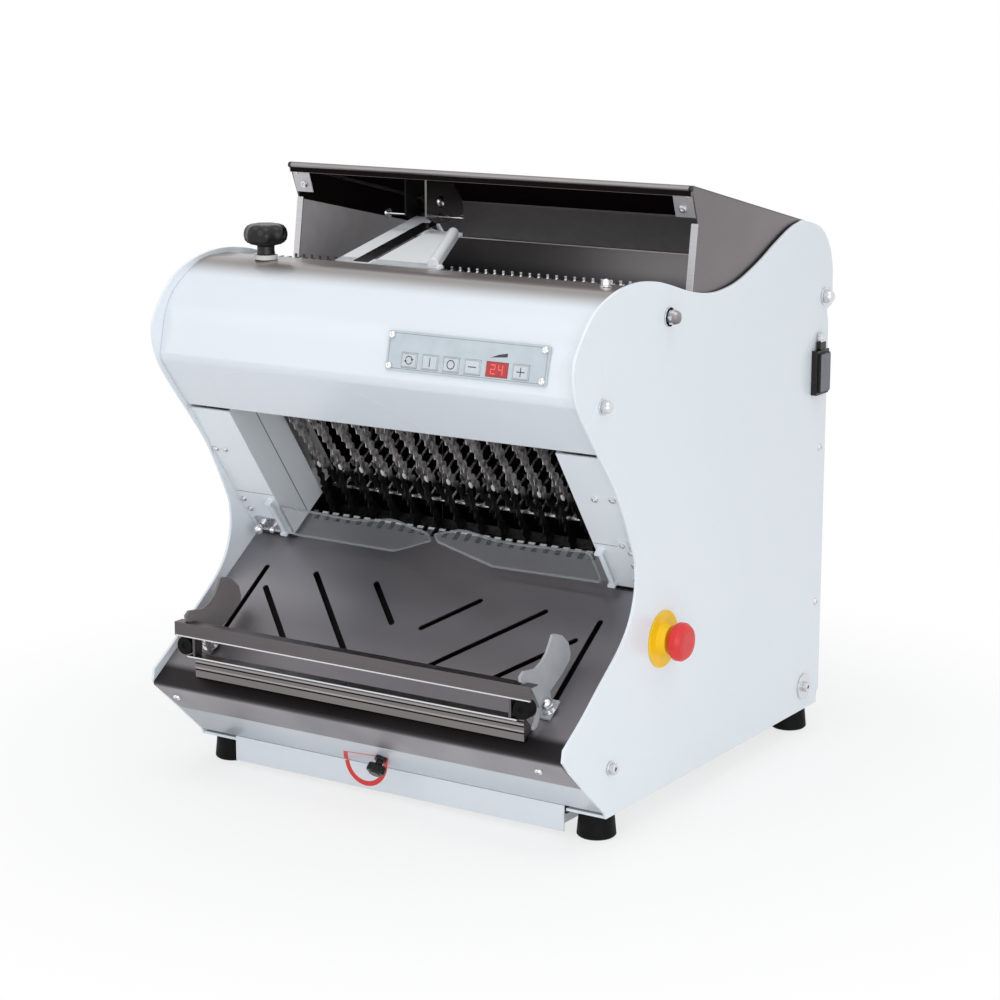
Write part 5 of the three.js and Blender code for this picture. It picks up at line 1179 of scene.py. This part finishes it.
for side_name, side in SIDES:
    face = RIGHT * side
    pivot = at(0, *HOOD_PIVOT)
    head = HOOD_HALF - SHEET - GAP
    low = head - PIN_HEAD_HIGH
    profile = [(0, low), (PIN_HEAD, low), (PIN_HEAD, head), (5, head), (5, OUT), (0, OUT)]
    stem = lathe("stem", soft(profile, 0.4), pivot, face)
    settle(stem, "frame", "bright_steel", (f"{side_name}_hood_pin",))
    dome_nut("hood_pin_nut", "frame", pivot + face * OUT * MM, face)
    dome_nut("infeed_nut", "frame", at(side * OUT, *INFEED_BOLT), face)
    dome_nut("cowl_nut", "frame", at(side * (OUT - GAP), *COWL_BOLT), face, *COWL_NUT)

for node, (y, z), disc in (("front_tie_rod", FRONT_TIE, TIE_DISC / 2), ("rear_tie_rod", REAR_TIE, TIE_DISC)):
    place = at(0, y, z)
    made = [lathe("bar", bar(TIE_BAR, -OUT, OUT), place, RIGHT)]
    for side in (-1, 1):
        high = OUT + TIE_DISC_THICK
        made.append(lathe("disc", soft(bar(disc, OUT, high), 0.5), place, RIGHT * side))
        made.append(plate("hex", circle(0, 0, TIE_HEX, 6), (circle(0, 0, TIE_SOCKET, 12),),
                          on_line(at(side * high, y, z), RIGHT * side), TIE_HEX_HIGH, 0.5))
    settle(joined(node + "_shape", made), "frame", "bright_steel", (node,))

# Control plate: a film on a thin plate, keys with raised rims, plain signs and a two-figure display
FILM = 1.5
FILM_TOP = GAP + FILM
KEY_TOP = FILM_TOP + 0.8
INK_SUNK = 0.02
LINE_INSET = 2.2
LINE_WIDTH = 0.5
FLANGE_DEPTH = 1.1
RIM_INSET = 0.7
RIM_WIDTH = 0.45
CORNER_SCREW = (3.9, 2.4, 1.5)


def face_plate(name, outline, holes, n0, depth, edge=0.15, segments=1):
    return plate(name, outline, holes, lambda u, v, n: on_face(u, v, n0 + n), depth, edge, segments)


def printed(name, outline, top, high=0.08, holes=()):
    """A thin raised print on the control plate or a key."""
    return face_plate(name, outline, holes, top - INK_SUNK, high, 0.01)


def stroke(points, width):
    """A closed band of even width along a line of points."""
    return beside(points, width / 2) + beside(points, -width / 2)[::-1]


def arc(cx, cv, radius, start, finish, steps=20):
    turns = [math.radians(start + (finish - start) * i / steps) for i in range(steps + 1)]
    return [(cx + radius * math.cos(turn), cv + radius * math.sin(turn)) for turn in turns]


def control_plate():
    windows = [key_box(key_x(s), KEY_WIDTH, KEY_RUN) for s in key_shares.values()]
    windows.append(key_box(key_x(DISPLAY_SHARE), DISPLAY_WIDTH, KEY_RUN))
    x1, v1 = PLATE_X + PLATE_WIDTH, PLATE_V + PLATE_HEIGHT
    outline = box_outline(PLATE_X, PLATE_V, x1, v1, 2.5)
    face = face_plate("control_plate_shape", outline, windows, GAP, FILM, 0.25, 2)
    settle(face, "frame", "control_film", ("control_plate",))
    line, hole = [box_outline(PLATE_X + d, PLATE_V + d, x1 - d, v1 - d, bend)
                  for d, bend in ((LINE_INSET, 2), (LINE_INSET + LINE_WIDTH, 1.8))]
    line = printed("control_plate_line", line, FILM_TOP, 0.06, (hole,))
    settle(line, "frame", "control_film", (), "key_edge")
    left, right, high = PLATE_X + 4.6, x1 - 5.2, v1 - 4.8
    for x, v in ((left, high), (left, PLATE_V + 4.6), (right, high), (right, PLATE_V + 5)):
        cap_screw("control_plate_screw", "frame", on_face(x, v, FILM_TOP), FACE_OUT, *CORNER_SCREW)
    x, v = key_x(DISPLAY_SHARE) + 4, KEY_V + KEY_HEIGHT + 4
    ramp = printed("speed_sign", [(x, v), (x + 19, v + 1.6), (x + 19, v + 5.4), (x + 9, v + 3.4)], FILM_TOP)
    settle(ramp, "frame", "control_film", (), "ink")


SIGN_HALF = 4.6
LINE_HALF = 0.5
TURN_R = 3.9
HEAD_HALF = 1.7


def key_signs(name, x, v):
    """Each key's sign, as outlines round the key's middle at (x, v)."""
    if name == "mode":
        turn = [stroke(arc(x, v, TURN_R, start, start + 140), 0.9) for start in (20, 200)]
        heads = [[(x + k * (TURN_R + HEAD_HALF), v + k * 1.6), (x + k * (TURN_R - HEAD_HALF), v + k * 1.6),
                  (x + k * TURN_R, v - k * 0.9)] for k in (1, -1)]
        return turn + heads
    if name == "start":
        return [box_outline(x - LINE_HALF, v - SIGN_HALF, x + LINE_HALF, v + SIGN_HALF)]
    if name == "stop":
        return [stroke(arc(x, v, 4.2, start, start + 180), 1.0) for start in (0, 180)]
    signs = [box_outline(x - SIGN_HALF, v - LINE_HALF, x + SIGN_HALF, v + LINE_HALF)]
    if name == "plus":
        signs += [box_outline(x - LINE_HALF, v + low, x + LINE_HALF, v + high)
                  for low, high in ((LINE_HALF, SIGN_HALF), (-SIGN_HALF, -LINE_HALF))]
    return signs


def keys():
    for name, share in key_shares.items():
        x = key_x(share)
        node = name + "_key"
        cap = face_plate("cap", key_box(x, KEY_WIDTH, 0, 1.4), (), -0.6, KEY_TOP + 0.6, 0.4, 3)
        flange = face_plate("flange", key_box(x, KEY_WIDTH, KEY_FLANGE), (), -FLANGE_DEPTH, FLANGE_DEPTH)
        settle(joined(node + "_shape", [cap, flange]), node, "key_film", (node,))
        rim = printed(node + "_rim", key_box(x, KEY_WIDTH, -RIM_INSET, 1.2), KEY_TOP, 0.06,
                      (key_box(x, KEY_WIDTH, -RIM_INSET - RIM_WIDTH, 0.9),))
        settle(rim, node, "key_film", (), "key_edge")
        middle = (x + KEY_WIDTH / 2, KEY_V + KEY_HEIGHT / 2)
        signs = [printed("sign", outline, KEY_TOP) for outline in key_signs(name, *middle)]
        settle(joined(node + "_sign", signs), node, "key_film", (), "ink")


SEGMENTS = {"2": "abged", "4": "fgbc"}
FIGURE_WIDTH = 5.6
FIGURE_HEIGHT = 9.6
FIGURE_STROKE = 1.0
FIGURE_START = 5
FIGURE_PITCH = 8.8


def display():
    x0 = key_x(DISPLAY_SHARE)
    window = face_plate("window", key_box(x0, DISPLAY_WIDTH, 0), (), -0.6, FILM_TOP + 0.6, 0.2)
    flange = face_plate("flange", key_box(x0, DISPLAY_WIDTH, KEY_FLANGE), (), -FLANGE_DEPTH, FLANGE_DEPTH)
    settle(joined("display_window_shape", [window, flange]), "frame", "red_window", ("display_window",))
    made = []
    low = KEY_V + (KEY_HEIGHT - FIGURE_HEIGHT) / 2
    mid, high = low + FIGURE_HEIGHT / 2, low + FIGURE_HEIGHT
    for k, figure in enumerate("24"):
        left = x0 + FIGURE_START + k * FIGURE_PITCH
        right = left + FIGURE_WIDTH
        near, far = left + FIGURE_STROKE, right - FIGURE_STROKE
        bars = {"a": (left, high - FIGURE_STROKE, right, high), "d": (left, low, right, low + FIGURE_STROKE),
                "g": (left, mid - FIGURE_STROKE / 2, right, mid + FIGURE_STROKE / 2),
                "f": (left, mid, near, high), "e": (left, low, near, mid),
                "b": (far, mid, right, high), "c": (far, low, right, mid)}
        made += [printed("bar", box_outline(*bars[s]), FILM_TOP, 0.05) for s in SEGMENTS[figure]]
    settle(joined("display_figures", made), "frame", "red_window", (), "red_segment")


control_plate()
keys()
display()

# Cowl and panel fasteners
TOP_NUT_PLACE = (228, 112)
TOP_NUT = (4.8, 8, 6.2, 1.2)
PANEL_SCREW = (4, 2.2, 1.8)
PANEL_SCREW_Y = 534
PANEL_SCREW_HEIGHTS = (330, 150)
dome_nut("cowl_top_nut", "frame", at(*TOP_NUT_PLACE, COWL_TOP_Z), UP, *TOP_NUT)
for side in (-1, 1):
    for z in PANEL_SCREW_HEIGHTS:
        place = at(side * (INNER + PANEL_SHEET), PANEL_SCREW_Y, z)
        cap_screw("panel_screw", "frame", place, RIGHT * side, *PANEL_SCREW)

# Throat guides: screws, the joint between their two sheets, a line of painted shade along each guide's fold,
# and the flaps' fittings
FLAP_LEVEL = -4.6
GUIDE_SEAM = (127.6, 128.2)
GUIDE_FOLD = (32.6, 4, 33.8, 186)
GUIDE_SCREW = (3.8, 2.6, 1.6)
LATCH_SCREW = (3.2, 2.2, 1.3)
LATCH_SCREW_X = 240.5
LATCH_SCREW_B = -1.4
LATCH_SCREWS_S = (124, 176)
FITTING_B = -0.2
guide_screws = [(229, 60), (250, 58), (246.6, 135), (244.6, 154), (-239.5, 61.3), (-252.5, 62.1),
                (-250.8, 139.9), (-248.4, 155.5)]
for x, s in guide_screws:
    cap_screw("guide_screw", "frame", leaning(x, s, 0), -INTO_THROAT, *GUIDE_SCREW)
for side in (-1, 1):
    x0, x1 = sorted((side * (THROAT_HALF + 1), side * (INNER - 1)))
    seam = box_outline(x0, GUIDE_SEAM[0], x1, GUIDE_SEAM[1])
    film("guide_seam", "frame", "white_paint", seam, on_throat(0), "seam")
    film("guide_crease_shade", "frame", "white_paint", box_outline(*GUIDE_FOLD),
         lambda u, v, n: leaning(side * (THROAT_HALF - n), v, u), "seam")


def ball_nut(name, x, s, radius):
    base = leaning(x, s, -0.3)
    profiles = [soft(bar(radius * 0.95, 0, 1.6), 0.4), bar(radius * 0.55, 1.6, 5),
                [(radius * math.sin(a), 5 + radius - radius * math.cos(a)) for a in
                 (math.pi * (0.12 + 0.88 * i / 14) for i in range(15))]]
    made = [lathe("turned", profile, base, -INTO_THROAT) for profile in profiles]
    return settle(joined(name, made), "frame", "bright_steel")


ball_nut("flap_catch_ball", -240, 176, 6.2)
ball_nut("flap_catch_ball_small", -223, 177, 3.6)
for name, slot, box, thick in (("flap_catch_plate", "bright_steel", (-249, 166, -216, 184, 3), 1.4),
                               ("flap_latch_plate", "white_paint", (234, 118, 247, 182, 3), 1.2)):
    trim(name, "frame", slot, box_outline(*box), on_throat(FITTING_B), thick, 0.3)
for s in LATCH_SCREWS_S:
    place = leaning(LATCH_SCREW_X, s, LATCH_SCREW_B)
    cap_screw("flap_latch_screw", "frame", place, -INTO_THROAT, *LATCH_SCREW)

# Painted shade: dark sheets, one below the tray's slots, the others inside the body, behind the blades
TRAY_SHADE_BOX = (-227, 44, 227, 205)
TRAY_SHADE_H = -12
SHADE_SHEET_THICK = 0.4
PANEL_SHADE_BOX = (264, 66, 538, 400)
PANEL_SHADE_GAP = 0.1
REAR_SHADE_BOX = (-256, 72, 256, 452)
REAR_SHADE_Y = 538.4


def painted_shade_sheet(name, box, place, depth=SHADE_SHEET_THICK, edge=0.05, segments=1):
    trim(name, "frame", "brushed_steel", box_outline(*box), place, depth, edge, "shade_steel", segments)


painted_shade_sheet("tray_slot_painted_shade", TRAY_SHADE_BOX, over_tray(TRAY_SHADE_H, -1), 0.8, 0.2, 2)
shade_sheet_x = INNER - PANEL_SHADE_GAP
for x in (-shade_sheet_x, shade_sheet_x - SHADE_SHEET_THICK):
    painted_shade_sheet("panel_painted_shade", PANEL_SHADE_BOX, across(x))
painted_shade_sheet("rear_cover_painted_shade", REAR_SHADE_BOX, facing(REAR_SHADE_Y, 1))

# Clear flaps with bright edges
flap_top_shares = [(0.022, 0.774), (0.2, 0.705), (0.245, 0.705), (0.41, 0.745), (0.54, 0.753), (0.974, 0.727)]
flap_low_shares = [(0.974, 0.968), (0.31, 0.979), (0.022, 0.837)]
GUIDE_LENGTH = 190
FLAP_SHEET = 3
FLAP_RIM = 0.8
FLAP_BEND = 5


def flap(side):
    name = ("right" if side > 0 else "left") + "_flap"
    outline = rounded([((side * x * THROAT_HALF, s * GUIDE_LENGTH), FLAP_BEND)
                       for x, s in flap_top_shares + flap_low_shares], 4)
    if side < 0:
        outline = outline[::-1]
    trim(name + "_edge", name, "clear_plastic", outline,
         lambda u, v, n: leaning(u, v, FLAP_LEVEL - FLAP_SHEET / 2 + n), FLAP_SHEET, 0.2, "clear_edge",
         holes=(inset(outline, FLAP_RIM),))


flap(1)
flap(-1)

# Stop bar: a black bumper at each end, painted highlights on its rails' edges and folds with painted shade
# lines beside the folds, bolts and a lever
BUMPER_X = 212
BUMPER_Z = 156
RAIL_FRONT_Y = -17.5
RAIL_EDGE_Y = RAIL_FRONT_Y + 0.27
LOWER_RAIL_Y = -4
UPPER_RAIL_HALF = 224
LOWER_RAIL_HALF = 207.5
STOP_BOLT_X = 214
STOP_BOLT_U = 62
STOP_NUT = (7.6, 13.5, 9.4, 1.2)
LEVER_X = 213
LEVER_THICK = 3
BUMPER_PROFILE = [(0, 1.5), (3.4, 1.5), (3.4, 0), (9.6, 0), (10, 1.4), (10, 13), (8.6, 15), (0, 15)]
lever_corners = [((1, 150), 0), ((5, 154), 2), ((11, 152), 3), ((13, 144), 3), ((8, 134), 3), ((1, 131), 2),
                 ((0, 135), 2), ((5, 141), 3), ((5, 147), 3), ((1, 150), 0)]


def strips(name, body, boxes, place, depth, look, edge):
    """Several small flat pieces of one depth, as one piece."""
    loops = [box_outline(*box) for box in boxes]
    return trim(name, body, "brushed_steel", loops[0], place, depth, edge, look, 1, loops[1:])


for side in (1, -1):
    bumper = lathe("bumper", soft(BUMPER_PROFILE, 0.7), at(side * BUMPER_X, RAIL_FRONT_Y + 1, BUMPER_Z),
                   Vector((0, 1, 0)))
    settle(bumper, "stop_bar", "black_rubber")

# Thin strips on the rails' fronts: painted highlights on the edges and folds, painted shade beside the folds
rail_strips = (
    ("upper_rail_edge", UPPER_RAIL_HALF - 1, RAIL_EDGE_Y, [(166.2, 167.6)], 0.3, "bright_steel", 0.05),
    ("lower_rail_edge", LOWER_RAIL_HALF, RAIL_EDGE_Y, [(144.6, 146.2)], 0.3, "bright_steel", 0.05),
    ("lower_rail_folds", LOWER_RAIL_HALF, LOWER_RAIL_Y, [(129, 131), (136, 138)], 0.4, "roll_steel", 0.1),
    ("lower_rail_shades", LOWER_RAIL_HALF, LOWER_RAIL_Y, [(127.2, 128.8), (134.2, 135.8), (139, 140.6)],
     0.3, "shade_steel", 0.05))
for name, half, y, heights, *finish in rail_strips:
    strips(name, "stop_bar", [(-half, low, half, high) for low, high in heights], facing(y), *finish)

for side in (-1, 1):
    place = on_tray(side * STOP_BOLT_X, STOP_BOLT_U, 3.3)
    dome_nut("stop_bolt_nut", "stop_bar", place, -DOWN_THROAT, *STOP_NUT)
lever = rounded(lever_corners, 4)[:-1]
trim("stop_lever", "stop_bar", "brushed_steel", lever, across(LEVER_X), LEVER_THICK, 0.4, "matt_steel")

# Comb: a painted highlight on each tooth of the tray's upper end, in the pale nylon colour
NOTCH_HALF = 3.2
COMB_EDGE = (TRAY_LENGTH - 3.4, TRAY_LENGTH - 0.8)
comb = [(row_x(i) + NOTCH_HALF, COMB_EDGE[0], row_x(i + 1) - NOTCH_HALF, COMB_EDGE[1])
        for i in range(BLADE_COUNT - 1)]
strips("comb_glints", "frame", comb, over_tray(0.05), 0.5, "pale_nylon", 0.1)

# Finger strip: the bent tip of each tooth; the left-hand tips are darkened with painted shade
STRIP_PITCH = 10.7
STRIP_TEETH = 47
STRIP_Y = 164
FINGER_HALF = 1.3
FINGER_TIP = (552.6, 557)
finger_places = [row_x(i, STRIP_TEETH, STRIP_PITCH) for i in range(STRIP_TEETH)]
fingers = [(x - FINGER_HALF, FINGER_TIP[0], x + FINGER_HALF, FINGER_TIP[1]) for x in finger_places]
for part, finish in ((fingers[5:16], "dark_steel"), (fingers[16:], "bright_steel")):
    strips("finger_tips", "frame", part, facing(STRIP_Y, 1), 1.6, finish, 0.3)

# Fascia buttons, and the sign round the drawer's lock: a plain red arc over the panel and the drawer
FASCIA = (25, 71)
DRAWER_FRONT = (65.5, 34)
FASCIA_OUT = Vector((0, -0.646, -0.763))
LOWER_ALONG = Vector((0, DRAWER_FRONT[0] - FASCIA[0], DRAWER_FRONT[1] - FASCIA[1])).normalized()
LOWER_OUT = Vector((0, LOWER_ALONG.z, -LOWER_ALONG.y))
lock_place = at(0, (FASCIA[0] + DRAWER_FRONT[0]) / 2, (FASCIA[1] + DRAWER_FRONT[1]) / 2)
SIGN_LEFT = (-49, -4)
SIGN_RIGHT = (8, 3)
LEFT_FOOT = (-60.4, -26)
RIGHT_FOOT = (-9.6, -26)
SIGN_ARC = (-35, 37, 25, 188, 356, 30)
SIGN_WIDTH = 5.4
BUTTON = (4.6, 2.8, 1.4)
BUTTON_PLACE = (2.2, 90.4)
BUTTONS_X = (-239.6, 221)
for x in BUTTONS_X:
    cap_screw("fascia_button", "frame", at(x, *BUTTON_PLACE), FASCIA_OUT, *BUTTON)


def on_lock(u, v, n):
    """A place round the drawer's lock: u across, v up the sloping panel, n out of it."""
    return lock_place + (RIGHT * u - LOWER_ALONG * v + LOWER_OUT * n) * MM


half_ring = stroke(arc(*SIGN_ARC), SIGN_WIDTH)
film("drawer_sign", "drawer", "white_paint", half_ring, facing(DRAWER_FRONT[0]), "red_print")
sign_lines = (([LEFT_FOOT, SIGN_LEFT], 5), ([RIGHT_FOOT, SIGN_RIGHT], 4.4), ([SIGN_LEFT, SIGN_RIGHT], 1.6))
for points, width in sign_lines:
    film("lock_sign", "frame", "white_paint", stroke(points, width), on_lock, "red_print")

# Switch on the right panel: a grey face, and a plunger with a bright roller above it
SWITCH_X = 262
SWITCH_FACE_X = 270.2
SWITCH_FACE = (511.5, 397, 534.5, 439, 2)
SWITCH_NECK = (516, 443.3, 530, 452, 1.5)
ROLLER_PLACE = (SWITCH_X + 0.6, 523, 456)
ROLLER_PROFILE = [(0, 0), (6.4, 0), (6.4, 4), (2.4, 4), (2.4, 5), (0, 5)]
trim("switch_face", "frame", "black_plastic", box_outline(*SWITCH_FACE), across(SWITCH_FACE_X), 0.8, 0.2,
     "switch_grey")
trim("switch_neck", "frame", "black_plastic", box_outline(*SWITCH_NECK), across(SWITCH_X), 5, 0.4)
roller = lathe("switch_roller", soft(ROLLER_PROFILE, 0.5), at(*ROLLER_PLACE), RIGHT, 32)
settle(roller, "frame", "bright_steel")

# Every other node is shown with its own shape
# Looks of their own; those of the tray, the infeed well, the blade frames, the left stop arm and the lower
# front panel carry painted shade.
own_look = {"outfeed_tray": "tray_steel", "right_stop_arm": "matt_steel", "left_stop_arm": "rear_steel",
            "infeed_back_plate": "well_steel", "right_infeed_wall": "well_steel",
            "left_infeed_wall": "well_steel", "finger_strip": "bright_steel",
            "front_blade_frame": "shade_steel", "rear_blade_frame": "shade_steel", "upper_rail": "rail_steel",
            "lower_front_panel": "front_paint"}
for node in [node for node in nodes if node not in shown]:
    dressed(node, own_look.get(node))

# Stage: a pale floor that turns white away from the object, a white surround and soft studio light
FLOOR_SIZE = 12
FLOOR_GLOW_SHARE = 0.72
WHITE_FROM = 0.3
WHITE_AT = 0.85
FLOOR_COLOR = (0.92, 0.92, 0.92, 1)
SKY_COLOR = (0.94, 0.97, 1.0, 1)
SKY_STRENGTH = 0.55
WHITE = (1, 1, 1, 1)
LAMP_TARGET = (0, 0, 0.3)


def shown_share(tree, near_share):
    """For camera, glossy and transmission rays: a share that grows to 1 away from the object."""
    path = tree.node("LightPath")
    share = path.outputs["Is Camera Ray"]
    for kind in ("Is Glossy Ray", "Is Transmission Ray"):
        share = tree.combined("MAXIMUM", share, path.outputs[kind])
    if near_share == 1:
        return share
    length = tree.node("VectorMath", operation="LENGTH")
    tree.link(tree.node("TexCoord").outputs["Object"], length.inputs[0])
    grow = tree.mapped(length.outputs["Value"], WHITE_FROM, WHITE_AT, near_share, 1.0,
                       interpolation_type="SMOOTHSTEP")
    return tree.combined("MULTIPLY", grow, share)


def make_floor():
    bm = bmesh.new()
    bmesh.ops.create_grid(bm, x_segments=8, y_segments=8, size=FLOOR_SIZE / 2)
    floor = built("floor", bm)
    material = bpy.data.materials.new("floor")
    material.use_nodes = True
    tree = Nodes(material.node_tree)
    tree.tree.nodes.clear()
    matt = tree.node("BsdfDiffuse", Color=FLOOR_COLOR)
    glow = tree.node("Emission", Color=WHITE)
    mix = tree.mixed(shown_share(tree, FLOOR_GLOW_SHARE), matt.outputs["BSDF"], glow.outputs["Emission"])
    tree.link(mix, tree.node("OutputMaterial").inputs["Surface"])
    floor.data.materials.append(material)


def make_world():
    world = bpy.data.worlds.new("studio")
    world.use_nodes = True
    tree = Nodes(world.node_tree)
    sky = tree.node("Background", Color=SKY_COLOR, Strength=SKY_STRENGTH)
    shown = tree.node("Background", Color=WHITE, Strength=1.0)
    mix = tree.mixed(shown_share(tree, 1), sky.outputs["Background"], shown.outputs["Background"])
    tree.link(mix, tree.tree.nodes["World Output"].inputs["Surface"])
    bpy.context.scene.world = world


def make_lamp(name, place, target, size, power):
    data = bpy.data.lights.new(name, "AREA")
    data.shape = "RECTANGLE"
    data.size, data.size_y = size
    data.energy = power
    lamp = bpy.data.objects.new(name, data)
    lamp.location = place
    lamp.rotation_euler = (Vector(target) - Vector(place)).to_track_quat("-Z", "Y").to_euler()
    bpy.context.scene.collection.objects.link(lamp)


make_floor()
make_world()
for name, place, size, power in (("top_lamp", (0.3, -0.6, 2.6), (2.2, 1.6), 18),
                                 ("front_lamp", (-1.6, -2.4, 1.6), (1.4, 1.8), 8),
                                 ("fill_lamp", (1.7, -2.6, 0.6), (1.4, 1.0), 12),
                                 ("right_lamp", (2.4, -1.5, 0.9), (1.4, 1.8), 11)):
    make_lamp(name, place, LAMP_TARGET, size, power)

bpy.context.scene.view_settings.view_transform = "Standard"
